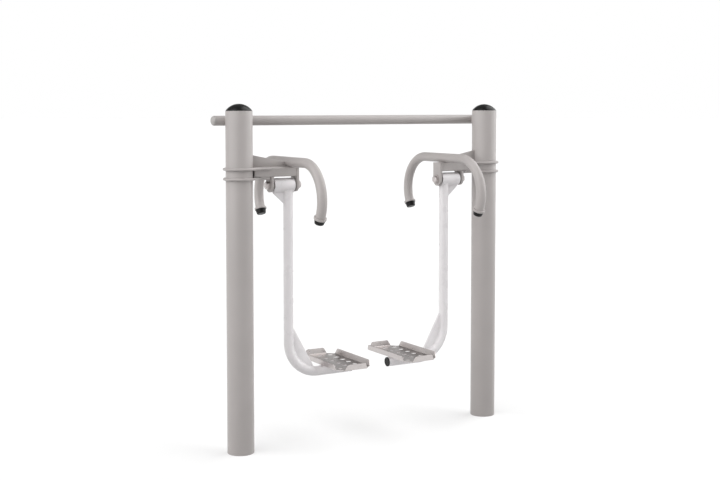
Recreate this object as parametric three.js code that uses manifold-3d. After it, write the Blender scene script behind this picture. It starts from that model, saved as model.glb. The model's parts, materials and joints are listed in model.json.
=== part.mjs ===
import * as THREE from 'three';
import { mergeVertices } from 'three/addons/utils/BufferGeometryUtils.js';
import Module from 'manifold-3d';

// Outdoor air walker: two posts joined by a bar, each post carrying a handle and a swinging footrest.
// Lengths are millimetres. X runs from post to post, Y from front to back and Z up.
// The origin lies on the ground, midway between the two posts.

// Clearances and cuts
const seatGap = 0.3;
const overrun = 6;

// Posts, set straight into the ground
const postSpacing = 1265;
const postDiameter = 114.3;
const postWall = 3.6;
const postHeight = 1450;

// Domed caps of the posts
const postCapInset = 1.5;
const postCapRim = 1;
const postCapRise = 28.5;
const postCapWall = 4;
const postCapSkirt = 25;

// Bar that joins the posts, behind them
const railDiameter = 42.4;
const railWall = 2.6;
const railDrop = 42;
const railOverhang = 73;
const railCapRise = 18;
const railCapInsert = 22;

// Saddles and bolts that hold the bar to the posts
const saddleThickness = 4;
const saddleWidth = 60;
const saddleHeight = 32;
const saddleLip = 10;
const railBoltDiameter = 12;
const railBoltClearance = 0.5;
const railBoltHeadDiameter = 24;
const railBoltHeadRim = 1.5;
const railBoltHeadRise = 6;
const railBoltTail = 3;
const railNutWidth = 19;
const railNutHeight = 10;

// Bracket beams that stand out from the posts
const beamDrop = 239.5;
const beamHeight = 40;
const beamWidth = 60;
const beamWall = 4;
const beamCorner = 6;

// Gusset plates that stand on the beams
const beamGussetThickness = 8;
const beamGussetRise = 53.5;

// Hoops of bent round bar that clasp the posts, the lower one under the beam and the upper one beside it
const hoopBarDiameter = 11.5;
const hoopLegEnd = 130;
const hoopCorner = 80;
const hoopBendRadius = 20;
const hoopLowerTuck = 2;
const hoopUpperInset = 4.5;
const hoopClearance = 1.2;

// Ears that carry the pivot bolt
const earThickness = 10;
const earRadius = 30;
const earClearance = 7;
const hingeOffset = 202.5;

// Hub of the swinging arm, with its bearings
const hubDiameter = 60.3;
const hubWall = 6.3;
const hubLength = 96;
const hubHeadroom = 7.35;
const bearingWidth = 14;
const bearingInset = 1.5;
const bearingRingWall = 4.5;
const bearingShieldInset = 1;
const bearingNeckWall = 4.5;
const sleeveWall = 3.5;

// Pivot bolt, nut and washers
const pivotDiameter = 20;
const pivotClearance = 0.3;
const pivotHeadWidth = 30;
const pivotHeadHeight = 12.5;
const pivotNutHeight = 14;
const pivotTail = 2.5;
const washerDiameter = 37;
const washerThickness = 3;

// Handles, an arch of tube bent from one length, with a collar round each end
const tubeDiameter = 42.4;
const tubeWall = 2.9;
const handleInset = 24.5;
const handleTopLength = 295;
const handleBendRadius = 152;
const handleTail = 12.5;
const handleCurlDegrees = 24;
const collarDiameter = 54;
const collarLength = 10;
const collarProud = 1;

// Plugs in the handle ends
const handlePlugDiameter = 48;
const handlePlugTipDiameter = 41;
const handlePlugLength = 22;
const handlePlugRim = 2;
const handlePlugRound = 4;
const handlePlugInsert = 14;

// Swinging arms
const armEdgeInset = 0.6;
const armRunHeight = 310;
const armBendRadius = 139;
const armEndInset = 4;
const armPlugThickness = 4;
const armPlugInsert = 18;
const armPlugRound = 1.5;

// Plates that stiffen the arms
const armGussetThickness = 8;
const armGussetDrop = 53;
const armGussetInset = 1.5;
const armGussetLand = 4;
const finThickness = 8;
const finRise = 198;
const finLand = 3;
const finSweepDegrees = 80;

// Footrests, folded from sheet
const stanceWidth = 345;
const pedalWidth = 163;
const pedalLength = 360;
const pedalSheet = 3;
const pedalCorner = 26;
const pedalFoldRadius = 3;
const pedalFlangeWidth = 27;
const pedalFlangeDegrees = 78;
const pedalFlangeTaper = 15;
const pedalHoleDiameter = 25;
const pedalRowPitch = 52;
const pedalHolePitch = 56;
const pedalRows = 3;
const pedalHolesPerRow = 6;

// Bars that carry the footrests on the arms
const bearerWidth = 60;
const bearerLength = 300;
const bearerThickness = 6;
const bearerCorner = 8;

// Numbers of facets
const postFacets = 40;
const capFacets = 20;
const domeFacets = 4;
const innerDomeFacets = 2;
const tubeFacets = 16;
const railFacets = 16;
const hubFacets = 20;
const boltFacets = 16;
const bearingFacets = 16;
const barFacets = 8;
const holeFacets = 10;
const hexFacets = 6;
const plugFacets = 16;
const handleBendSteps = 8;
const armBendSteps = 8;
const hoopRoundSteps = 12;
const hoopCornerSteps = 2;
const foldSteps = 3;
const cornerSteps = 2;
const plugRoundSteps = 2;

// Heights and places that follow from the sizes above
const postRadius = postDiameter / 2;
const postBore = postRadius - postWall;
const railRadius = railDiameter / 2;
const railHeight = postHeight - railDrop;
const railOffset = postRadius + seatGap + saddleThickness + seatGap + railRadius;
const beamTop = postHeight - beamDrop;
const beamBottom = beamTop - beamHeight;
const beamStart = postRadius + seatGap;
const hubRadius = hubDiameter / 2;
const hubBore = hubRadius - hubWall;
const hingeHeight = beamBottom - hubHeadroom - hubRadius;
const earInnerFace = hubLength / 2 + earClearance;
const earOuterFace = earInnerFace + earThickness;
const beamEnd = hingeOffset + earInnerFace - seatGap;
const barRadius = hoopBarDiameter / 2;
const tubeRadius = tubeDiameter / 2;
const tubeBore = tubeRadius - tubeWall;
const handleOffset = beamEnd - handleInset;
const handleHeight = beamTop + seatGap + tubeRadius;
const armOffset = hingeOffset + hubLength / 2 - armEdgeInset - tubeRadius;
const pedalOffset = (postSpacing - stanceWidth) / 2;
const armRunEnd = pedalOffset + pedalWidth / 2 - armEndInset - armPlugThickness;
const bearerBottom = armRunHeight + tubeRadius + seatGap;
const pedalBottom = bearerBottom + bearerThickness + seatGap;
const pivotBore = pivotDiameter / 2 + pivotClearance;

// Materials
const greyCoatLook = { color: 0xafaaa8, roughness: 0.4, metalness: 0.1 };
const lightCoatLook = { color: 0xdbd7d8, roughness: 0.35, metalness: 0.1 };
const sheetLook = { color: 0xcac4c2, roughness: 0.3, metalness: 0.95 };
const zincLook = { color: 0x9c9c98, roughness: 0.35, metalness: 0.9 };
const bearingLook = { color: 0xb4b4b2, roughness: 0.22, metalness: 0.95 };
const plasticLook = { color: 0x151515, roughness: 0.55, metalness: 0 };
const capLook = { color: 0x9b9896, roughness: 0.5, metalness: 0 };

const wasm = await Module();
wasm.setup();

// A closed geometry as a solid that can be cut and joined.
function solidOf(geometry) {
  const bare = geometry.clone();
  bare.deleteAttribute('normal');
  bare.deleteAttribute('uv');
  const merged = mergeVertices(bare);
  return new wasm.Manifold(new wasm.Mesh({
    numProp: 3,
    vertProperties: new Float32Array(merged.attributes.position.array),
    triVerts: new Uint32Array(merged.index.array),
  }));
}

// A solid as a geometry again.
function geometryOf(solid) {
  const mesh = solid.getMesh();
  const geometry = new THREE.BufferGeometry();
  geometry.setAttribute('position', new THREE.BufferAttribute(mesh.vertProperties, 3));
  geometry.setIndex(new THREE.BufferAttribute(mesh.triVerts, 1));
  geometry.computeVertexNormals();
  return geometry;
}

function cut(geometry, ...tools) {
  return geometryOf(tools.reduce((solid, tool) => solid.subtract(solidOf(tool)), solidOf(geometry)));
}

function join(geometry, ...others) {
  return geometryOf(others.reduce((solid, other) => solid.add(solidOf(other)), solidOf(geometry)));
}

function common(geometry, other) {
  return geometryOf(solidOf(geometry).intersect(solidOf(other)));
}

// A turned piece about the Z axis. The profile lists radius and height, counter-clockwise.
function turned(profile, facets) {
  const points = profile.map(([radius, height]) => new THREE.Vector2(radius, height));
  return new THREE.LatheGeometry(points, facets).rotateX(Math.PI / 2);
}

// A rod about the Z axis between two heights.
function rod(radius, bottom, top, facets) {
  return turned([[0, bottom], [radius, bottom], [radius, top], [0, top]], facets);
}

// A tube about the Z axis between two heights.
function pipe(outer, inner, bottom, top, facets) {
  return turned([[inner, bottom], [outer, bottom], [outer, top], [inner, top], [inner, bottom]], facets);
}

// Points of a quarter dome, from its rim up to a smaller radius or to the axis.
function domeProfile(radius, rise, rim, facets) {
  return Array.from({ length: facets + 1 }, (_, step) => {
    const angle = (step / facets) * Math.PI / 2;
    return [step === facets ? 0 : radius * Math.cos(angle), rim + rise * Math.sin(angle)];
  });
}

// Points of a shallow dome cut from a sphere, from its rim up to the axis.
function capProfile(radius, rise, rim, facets) {
  const sphere = (radius * radius + rise * rise) / (2 * rise);
  const spread = Math.asin(radius / sphere);
  return Array.from({ length: facets + 1 }, (_, step) => {
    const angle = spread * (1 - step / facets);
    return [sphere * Math.sin(angle), rim + rise - sphere * (1 - Math.cos(angle))];
  });
}

// Turns a piece made about Z so that its top points along +X or +Y.
function alongX(geometry) {
  return geometry.rotateY(Math.PI / 2);
}

function alongY(geometry) {
  return geometry.rotateX(-Math.PI / 2);
}

// A plate from an outline drawn in X and Z, standing on edge and centred on Y.
function standingPlate(outline, thickness, curveSegments) {
  const settings = { depth: thickness, bevelEnabled: false, curveSegments };
  const plate = new THREE.ExtrudeGeometry(outline, settings);
  return plate.rotateX(Math.PI / 2).translate(0, thickness / 2, 0);
}

// A plate from an outline drawn in Y and Z, facing along X, from one place to another.
function crossPlate(outline, from, to, curveSegments) {
  const depth = to - from;
  const plate = new THREE.ExtrudeGeometry(outline, { depth, bevelEnabled: false, curveSegments });
  return plate.rotateX(Math.PI / 2).rotateZ(Math.PI / 2).translate(from, 0, 0);
}

function polygon(points) {
  return new THREE.Shape(points.map(([x, y]) => new THREE.Vector2(x, y)));
}

function circle(radius) {
  return new THREE.Shape().absarc(0, 0, radius, 0, 2 * Math.PI, false);
}

function roundedRectangle(width, height, radius) {
  const x = width / 2 - radius;
  const y = height / 2 - radius;
  return new THREE.Shape()
    .absarc(x, y, radius, 0, Math.PI / 2, false)
    .absarc(-x, y, radius, Math.PI / 2, Math.PI, false)
    .absarc(-x, -y, radius, Math.PI, 3 * Math.PI / 2, false)
    .absarc(x, -y, radius, 3 * Math.PI / 2, 2 * Math.PI, false)
    .closePath();
}

// The centre line of a bent bar: straight runs and bends in one plane, drawn as a bender works.
// It has a station at each end of a straight run and at each step of a bend, and nowhere else.
class BentLine extends THREE.Curve {
  constructor(start, headingDegrees, toSpace) {
    super();
    this.toSpace = toSpace;
    this.at = new THREE.Vector2(...start);
    this.heading = THREE.MathUtils.degToRad(headingDegrees);
    this.stations = [];
    this.mark();
  }

  mark() {
    const ahead = new THREE.Vector2(Math.cos(this.heading), Math.sin(this.heading));
    const tangent = this.toSpace(ahead.x, ahead.y).sub(this.toSpace(0, 0));
    this.stations.push({ point: this.toSpace(this.at.x, this.at.y), tangent });
  }

  straight(length) {
    this.at.x += length * Math.cos(this.heading);
    this.at.y += length * Math.sin(this.heading);
    this.mark();
    return this;
  }

  // A positive angle bends to the left of the heading.
  bend(radius, degrees, steps) {
    const turn = THREE.MathUtils.degToRad(degrees);
    const side = Math.sign(turn);
    const centre = this.at.clone();
    centre.x -= side * radius * Math.sin(this.heading);
    centre.y += side * radius * Math.cos(this.heading);
    for (let step = 0; step < steps; step += 1) {
      this.heading += turn / steps;
      this.at.x = centre.x + side * radius * Math.sin(this.heading);
      this.at.y = centre.y - side * radius * Math.cos(this.heading);
      this.mark();
    }
    return this;
  }

  get steps() {
    return this.stations.length - 1;
  }

  getPoint(t) {
    const place = t * this.steps;
    const index = Math.min(Math.round(place), this.steps);
    return this.stations[index].point.clone();
  }

  getTangent(t) {
    const index = Math.min(Math.round(t * this.steps), this.steps);
    return this.stations[index].tangent.clone().normalize();
  }

  getUtoTmapping(u) {
    return u;
  }
}

// A tube or a solid bar along a bent line.
function sweep(line, outer, inner, facets) {
  const section = circle(outer);
  if (inner > 0) {
    section.holes.push(new THREE.Path().absarc(0, 0, inner, 0, 2 * Math.PI, true));
  }
  return new THREE.ExtrudeGeometry(section, {
    steps: line.steps,
    extrudePath: line,
    curveSegments: facets / 2,
    bevelEnabled: false,
  });
}

// Posts and their caps

function postGeometry() {
  const tube = pipe(postRadius, postBore, 0, postHeight, postFacets);
  const hole = alongY(rod(railBoltDiameter / 2 + railBoltClearance, 0, postRadius + overrun, boltFacets));
  return cut(tube, hole.translate(0, 0, railHeight));
}

function postCapGeometry() {
  const skirtOuter = postBore - seatGap;
  const skirtInner = skirtOuter - postCapWall;
  const inside = capProfile(skirtInner, postCapRise - postCapWall, postCapRim, innerDomeFacets).reverse();
  const outer = postRadius - postCapInset;
  return turned([
    ...inside,
    [skirtInner, -postCapSkirt],
    [skirtOuter, -postCapSkirt],
    [skirtOuter, seatGap],
    [outer, seatGap],
    ...capProfile(outer, postCapRise, postCapRim, domeFacets),
  ], capFacets);
}

// Bar between the posts, with its saddles and bolts

function railGeometry() {
  const reach = postSpacing / 2 + railOverhang;
  const tube = alongX(pipe(railRadius, railRadius - railWall, -reach, reach, railFacets));
  const bore = railBoltDiameter / 2 + railBoltClearance;
  const holes = [-1, 1].map((side) => {
    const hole = alongY(rod(bore, -railRadius - overrun, railRadius + overrun, boltFacets));
    return hole.translate(side * postSpacing / 2, 0, 0);
  });
  return cut(tube, ...holes);
}

function railCapGeometry() {
  const insert = railRadius - railWall - seatGap;
  return alongX(turned([
    [0, -railCapInsert],
    [insert, -railCapInsert],
    [insert, seatGap],
    [railRadius, seatGap],
    ...domeProfile(railRadius, railCapRise - seatGap, seatGap, domeFacets).slice(1),
  ], railFacets));
}

function saddleGeometry() {
  const back = railOffset - railRadius + saddleLip;
  const block = new THREE.BoxGeometry(saddleWidth, back, saddleHeight).translate(0, back / 2, 0);
  const post = rod(postRadius + seatGap, -saddleHeight, saddleHeight, postFacets);
  const rail = alongX(rod(railRadius + seatGap, -saddleWidth, saddleWidth, railFacets));
  const bolt = alongY(rod(railBoltDiameter / 2 + railBoltClearance, 0, railOffset, boltFacets));
  return cut(block, post, rail.translate(0, railOffset, 0), bolt);
}

function railNutFace() {
  const corner = railNutWidth / Math.sqrt(3);
  return Math.sqrt(postBore * postBore - corner * corner) - seatGap;
}

function railBoltGeometry() {
  const radius = railBoltDiameter / 2;
  const length = railOffset + railRadius + seatGap - railNutFace() + railNutHeight + railBoltTail;
  const headRadius = railBoltHeadDiameter / 2;
  const dome = domeProfile(headRadius, railBoltHeadRise - railBoltHeadRim, railBoltHeadRim, domeFacets);
  const bolt = turned([
    [0, -length],
    [radius, -length],
    [radius, 0],
    [headRadius, 0],
    ...dome,
  ], boltFacets);
  return alongY(bolt);
}

// A hexagonal prism about Z, with a bore where one is given.
function hexGeometry(width, height, bore) {
  const corner = width / Math.sqrt(3);
  const outline = new THREE.Shape(Array.from({ length: hexFacets }, (_, place) => {
    const angle = (place / hexFacets) * 2 * Math.PI;
    return new THREE.Vector2(corner * Math.cos(angle), corner * Math.sin(angle));
  }));
  if (bore > 0) {
    outline.holes.push(new THREE.Path().absarc(0, 0, bore, 0, 2 * Math.PI, true));
  }
  return new THREE.ExtrudeGeometry(outline, {
    depth: height,
    bevelEnabled: false,
    curveSegments: boltFacets / 2,
  });
}

// Bracket beam, its gusset plate, the hoops and the ears

function beamGeometry() {
  const outline = roundedRectangle(beamWidth, beamHeight, beamCorner);
  const bore = roundedRectangle(beamWidth - 2 * beamWall, beamHeight - 2 * beamWall, beamCorner - beamWall);
  outline.holes.push(bore);
  return crossPlate(outline, beamStart, beamEnd, cornerSteps).translate(0, 0, beamTop - beamHeight / 2);
}

function beamGussetGeometry() {
  const foot = beamTop + seatGap;
  const end = handleOffset - tubeRadius - seatGap;
  return standingPlate(polygon([
    [beamStart, foot],
    [end, foot],
    [end, handleHeight],
    [beamStart, beamTop + beamGussetRise],
  ]), beamGussetThickness);
}

function hoopGeometry(legSide) {
  const round = postRadius + hoopClearance + barRadius;
  const reach = Math.hypot(hoopCorner, legSide);
  const lean = Math.asin(round / reach) - Math.atan2(legSide, hoopCorner);
  const leanDegrees = THREE.MathUtils.radToDeg(lean);
  const corner = hoopBendRadius * Math.tan(lean / 2);
  const leg = hoopLegEnd - hoopCorner - corner;
  const slope = Math.sqrt(reach * reach - round * round) - corner;
  const line = new BentLine([hoopLegEnd, legSide], 180, (x, y) => new THREE.Vector3(x, y, 0))
    .straight(leg)
    .bend(hoopBendRadius, -leanDegrees, hoopCornerSteps)
    .straight(slope)
    .bend(round, 180 + 2 * leanDegrees, hoopRoundSteps)
    .straight(slope)
    .bend(hoopBendRadius, -leanDegrees, hoopCornerSteps)
    .straight(leg);
  return sweep(line, barRadius, 0, barFacets);
}

function earGeometry(from, to, top) {
  const outline = new THREE.Shape()
    .moveTo(earRadius, top)
    .lineTo(-earRadius, top)
    .absarc(0, hingeHeight, earRadius, Math.PI, 2 * Math.PI, false)
    .closePath();
  outline.holes.push(new THREE.Path().absarc(0, hingeHeight, pivotBore, 0, 2 * Math.PI, true));
  return crossPlate(outline, from, to, tubeFacets / 2);
}

// Hub with its bearings and the sleeve between them

function bearingGeometry() {
  const outer = hubBore - seatGap;
  const shieldOuter = outer - bearingRingWall;
  const innerRing = pivotBore + bearingNeckWall;
  const neckEnd = bearingWidth + bearingInset + earClearance - seatGap;
  const face = bearingWidth;
  return turned([
    [pivotBore, 0],
    [outer, 0],
    [outer, face],
    [shieldOuter, face],
    [shieldOuter, face - bearingShieldInset],
    [innerRing, face - bearingShieldInset],
    [innerRing, neckEnd],
    [pivotBore, neckEnd],
    [pivotBore, 0],
  ], bearingFacets);
}

function sleeveGeometry() {
  const half = hubLength / 2 - bearingInset - bearingWidth - seatGap;
  return alongX(pipe(pivotBore + sleeveWall, pivotBore, -half, half, boltFacets));
}

// Pivot bolt with its washers and nut

function pivotBoltGeometry() {
  const grip = earOuterFace + seatGap + washerThickness + seatGap;
  const shankStart = -grip - pivotHeadHeight / 2;
  const shank = rod(pivotDiameter / 2, shankStart, grip + pivotNutHeight + pivotTail, boltFacets);
  const head = hexGeometry(pivotHeadWidth, pivotHeadHeight, 0);
  return alongX(join(shank, head.translate(0, 0, -grip - pivotHeadHeight)));
}

function washerGeometry() {
  return pipe(washerDiameter / 2, pivotBore, 0, washerThickness, boltFacets);
}

// Handle and its plugs

function handleLine() {
  const half = handleTopLength / 2;
  const sweepDegrees = 90 + handleCurlDegrees;
  const curl = THREE.MathUtils.degToRad(handleCurlDegrees);
  const endY = half + handleBendRadius * Math.cos(curl) - handleTail * Math.sin(curl);
  const endZ = -handleBendRadius - handleBendRadius * Math.sin(curl) - handleTail * Math.cos(curl);
  return new BentLine([-endY, endZ], sweepDegrees, (y, z) => new THREE.Vector3(0, y, z))
    .straight(handleTail)
    .bend(handleBendRadius, -sweepDegrees, handleBendSteps)
    .straight(handleTopLength)
    .bend(handleBendRadius, -sweepDegrees, handleBendSteps)
    .straight(handleTail);
}

// Places a piece made about Z at the end of a handle, pointing out of the tube.
function atHandleEnd(geometry, side) {
  const { point, tangent } = handleLine().stations.at(-1);
  const turn = new THREE.Quaternion().setFromUnitVectors(new THREE.Vector3(0, 0, 1), tangent.normalize());
  geometry.applyQuaternion(turn).translate(point.x, point.y, point.z);
  return side > 0 ? geometry : geometry.rotateZ(Math.PI);
}

// A ring round the end of a handle, let into half of the tube's wall and standing proud of its end.
function collarGeometry() {
  const bore = tubeRadius - tubeWall / 2;
  return pipe(collarDiameter / 2, bore, collarProud - collarLength, collarProud, tubeFacets);
}

function handleGeometry() {
  const tube = sweep(handleLine(), tubeRadius, tubeBore, tubeFacets);
  return join(tube, atHandleEnd(collarGeometry(), -1), atHandleEnd(collarGeometry(), 1));
}

function handlePlugGeometry() {
  const insert = tubeBore - seatGap;
  const rim = handlePlugDiameter / 2;
  const tip = handlePlugTipDiameter / 2;
  const round = domeProfile(handlePlugRound, handlePlugRound, 0, plugRoundSteps);
  const start = collarProud + seatGap;
  const shoulder = handlePlugLength - handlePlugRound;
  return turned([
    [0, -handlePlugInsert],
    [insert, -handlePlugInsert],
    [insert, start],
    [rim, start],
    [rim, start + handlePlugRim],
    ...round.map(([across, up]) => [tip - handlePlugRound + across, shoulder + up]),
    [0, handlePlugLength],
  ], plugFacets);
}

// Swinging arm, its stiffening plates and its plug

function armLine() {
  const drop = hingeHeight - armRunHeight - armBendRadius;
  const run = armRunEnd - armOffset - armBendRadius;
  return new BentLine([armOffset, hingeHeight], -90, (x, z) => new THREE.Vector3(x, 0, z))
    .straight(drop)
    .bend(armBendRadius, 90, armBendSteps)
    .straight(run);
}

function hubClearance() {
  const rodShape = alongX(rod(hubRadius + seatGap, -hubLength, hubLength, hubFacets));
  return rodShape.translate(hingeOffset, 0, hingeHeight);
}

function armClearance() {
  return sweep(armLine(), tubeRadius + seatGap, 0, tubeFacets);
}

function armGeometry() {
  return cut(sweep(armLine(), tubeRadius, tubeBore, tubeFacets), hubClearance());
}

function armGussetGeometry() {
  const edge = hingeOffset - hubLength / 2 + armGussetInset;
  const top = hingeHeight - hubRadius;
  const plate = standingPlate(polygon([
    [edge, top - armGussetLand],
    [armOffset - tubeRadius + tubeWall, top - armGussetDrop],
    [armOffset - tubeRadius + tubeWall, top + hubWall],
    [edge, top + hubWall],
  ]), armGussetThickness);
  return cut(plate, hubClearance(), armClearance());
}

function finGeometry() {
  const centre = [armOffset + armBendRadius, armRunHeight + armBendRadius];
  const sweepEnd = Math.PI + THREE.MathUtils.degToRad(finSweepDegrees);
  const inside = armBendRadius - tubeRadius - finLand;
  const outline = new THREE.Shape()
    .moveTo(armOffset, armRunHeight + finRise)
    .lineTo(armOffset + tubeRadius + finLand, armRunHeight + finRise)
    .lineTo(centre[0] + inside * Math.cos(sweepEnd), centre[1] + inside * Math.sin(sweepEnd))
    .absarc(...centre, armBendRadius, sweepEnd, Math.PI, true)
    .closePath();
  return cut(standingPlate(outline, finThickness, armBendSteps), armClearance());
}

function armPlugGeometry() {
  const insert = tubeBore - seatGap;
  const shoulder = armPlugThickness - armPlugRound;
  return alongX(turned([
    [0, -armPlugInsert],
    [insert, -armPlugInsert],
    [insert, seatGap],
    [tubeRadius, seatGap],
    [tubeRadius, shoulder],
    [tubeRadius - armPlugRound, armPlugThickness],
    [0, armPlugThickness],
  ], plugFacets));
}

// Footrest, folded up along its four straight sides, and the bar under it

function pedalBaseGeometry() {
  const x = pedalWidth / 2;
  const y = pedalLength / 2;
  const outline = polygon([
    [x, y - pedalCorner],
    [x - pedalCorner, y],
    [pedalCorner - x, y],
    [-x, y - pedalCorner],
    [-x, pedalCorner - y],
    [pedalCorner - x, -y],
    [x - pedalCorner, -y],
    [x, pedalCorner - y],
  ]);
  for (let row = 0; row < pedalRows; row += 1) {
    for (let place = 0; place < pedalHolesPerRow; place += 1) {
      const across = (row - (pedalRows - 1) / 2) * pedalRowPitch;
      const along = (place - (pedalHolesPerRow - 1) / 2) * pedalHolePitch;
      const hole = new THREE.Path().absarc(across, along, pedalHoleDiameter / 2, 0, 2 * Math.PI, true);
      outline.holes.push(hole);
    }
  }
  return new THREE.ExtrudeGeometry(outline, {
    depth: pedalSheet,
    bevelEnabled: false,
    curveSegments: holeFacets / 2,
  });
}

// One flange, standing up at +X from the fold, with its ends sloped.
function flangeGeometry(foldOffset, length) {
  const lean = THREE.MathUtils.degToRad(pedalFlangeDegrees);
  const outerRadius = pedalFoldRadius + pedalSheet;
  const foldEnd = lean - Math.PI / 2;
  const setback = outerRadius * Math.tan(lean / 2);
  const blade = pedalFlangeWidth - setback;
  const root = -pedalSheet;
  const inner = [pedalFoldRadius * Math.cos(foldEnd), outerRadius + pedalFoldRadius * Math.sin(foldEnd)];
  const outer = [outerRadius * Math.cos(foldEnd), outerRadius + outerRadius * Math.sin(foldEnd)];
  const along = [blade * Math.cos(lean), blade * Math.sin(lean)];
  const profile = new THREE.Shape()
    .moveTo(root, 0)
    .lineTo(0, 0)
    .absarc(0, outerRadius, outerRadius, -Math.PI / 2, foldEnd, false)
    .lineTo(outer[0] + along[0], outer[1] + along[1])
    .lineTo(inner[0] + along[0], inner[1] + along[1])
    .absarc(0, outerRadius, pedalFoldRadius, foldEnd, -Math.PI / 2, true)
    .lineTo(root, pedalSheet)
    .closePath();
  const blank = standingPlate(profile, length, foldSteps / 2);
  const rise = outer[1] + along[1];
  const half = length / 2;
  const taper = crossPlate(polygon([
    [-half, -overrun],
    [half, -overrun],
    [half, pedalSheet],
    [half - pedalFlangeTaper, rise + overrun],
    [pedalFlangeTaper - half, rise + overrun],
    [-half, pedalSheet],
  ]), root - overrun, pedalFlangeWidth + overrun);
  return common(blank, taper).translate(foldOffset, 0, 0);
}

function pedalGeometry() {
  const sides = [0, 1, 2, 3].map((quarter) => {
    const long = quarter % 2 === 0;
    const offset = (long ? pedalWidth : pedalLength) / 2;
    const length = (long ? pedalLength : pedalWidth) - 2 * pedalCorner;
    return flangeGeometry(offset, length).rotateZ(quarter * Math.PI / 2);
  });
  return join(pedalBaseGeometry(), ...sides);
}

function bearerGeometry() {
  const outline = roundedRectangle(bearerWidth, bearerLength, bearerCorner);
  return new THREE.ExtrudeGeometry(outline, {
    depth: bearerThickness,
    bevelEnabled: false,
    curveSegments: cornerSteps,
  });
}

const walker = new THREE.Group();

// Adds a named piece to a group, with a material of its own.
function add(group, name, geometry, look, x = 0, y = 0, z = 0) {
  const mesh = new THREE.Mesh(geometry, new THREE.MeshStandardMaterial(look));
  mesh.name = name;
  mesh.position.set(x, y, z);
  group.add(mesh);
  return mesh;
}

// What stands at one post and keeps its own front and back.
function addPost(side, label) {
  const station = new THREE.Group();
  station.position.x = side * postSpacing / 2;
  add(station, `${label}_post`, postGeometry(), greyCoatLook);
  add(station, `${label}_post_cap`, postCapGeometry(), plasticLook, 0, 0, postHeight);
  add(station, `${label}_rail_saddle`, saddleGeometry(), greyCoatLook, 0, 0, railHeight);
  const boltSeat = railOffset + railRadius + seatGap;
  add(station, `${label}_rail_bolt`, railBoltGeometry(), zincLook, 0, boltSeat, railHeight);
  const nut = alongY(hexGeometry(railNutWidth, railNutHeight, railBoltDiameter / 2 + railBoltClearance));
  add(station, `${label}_rail_nut`, nut, zincLook, 0, railNutFace() - railNutHeight, railHeight);
  walker.add(station);
}

// What one post carries towards the middle, drawn for the left post and turned round for the right.
function addBracket(side, label) {
  const unit = new THREE.Group();
  unit.position.x = side * postSpacing / 2;
  unit.rotation.z = side > 0 ? Math.PI : 0;
  add(unit, `${label}_beam`, beamGeometry(), greyCoatLook);
  add(unit, `${label}_beam_gusset`, beamGussetGeometry(), greyCoatLook);
  const lowerHoop = hoopGeometry(beamWidth / 2 - hoopLowerTuck - barRadius);
  const upperHoop = hoopGeometry(beamWidth / 2 + seatGap + barRadius);
  add(unit, `${label}_hoop_lower`, lowerHoop, greyCoatLook, 0, 0, beamBottom - seatGap - barRadius);
  add(unit, `${label}_hoop_upper`, upperHoop, greyCoatLook, 0, 0, beamTop - hoopUpperInset);
  const earSeat = beamBottom - seatGap;
  const outerEar = earGeometry(hingeOffset - earOuterFace, hingeOffset - earInnerFace, earSeat);
  add(unit, `${label}_ear_outer`, outerEar, greyCoatLook);
  const innerEar = earGeometry(hingeOffset + earInnerFace, hingeOffset + earOuterFace, beamTop);
  add(unit, `${label}_ear_inner`, innerEar, greyCoatLook);
  add(unit, `${label}_handle`, handleGeometry(), greyCoatLook, handleOffset, 0, handleHeight);
  const plugFront = atHandleEnd(handlePlugGeometry(), -1);
  const plugBack = atHandleEnd(handlePlugGeometry(), 1);
  add(unit, `${label}_handle_plug_${side > 0 ? 'back' : 'front'}`, plugFront, plasticLook,
    handleOffset, 0, handleHeight);
  add(unit, `${label}_handle_plug_${side > 0 ? 'front' : 'back'}`, plugBack, plasticLook,
    handleOffset, 0, handleHeight);
  walker.add(unit);
}

// The pivot bolt points along +X at both posts, so it isn't turned round.
function addPivot(side, label) {
  const pivot = new THREE.Group();
  pivot.position.set(side * (postSpacing / 2 - hingeOffset), 0, hingeHeight);
  const washerSeat = earOuterFace + seatGap;
  const nutSeat = washerSeat + washerThickness + seatGap;
  add(pivot, `${label}_pivot_bolt`, pivotBoltGeometry(), zincLook);
  const nut = hexGeometry(pivotHeadWidth, pivotNutHeight, pivotBore);
  add(pivot, `${label}_pivot_nut`, alongX(nut), zincLook, nutSeat);
  add(pivot, `${label}_washer_head`, alongX(washerGeometry()), zincLook, -washerSeat - washerThickness);
  add(pivot, `${label}_washer_nut`, alongX(washerGeometry()), zincLook, washerSeat);
  add(pivot, `${label}_spacer_sleeve`, sleeveGeometry(), zincLook);
  walker.add(pivot);
}

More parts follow.
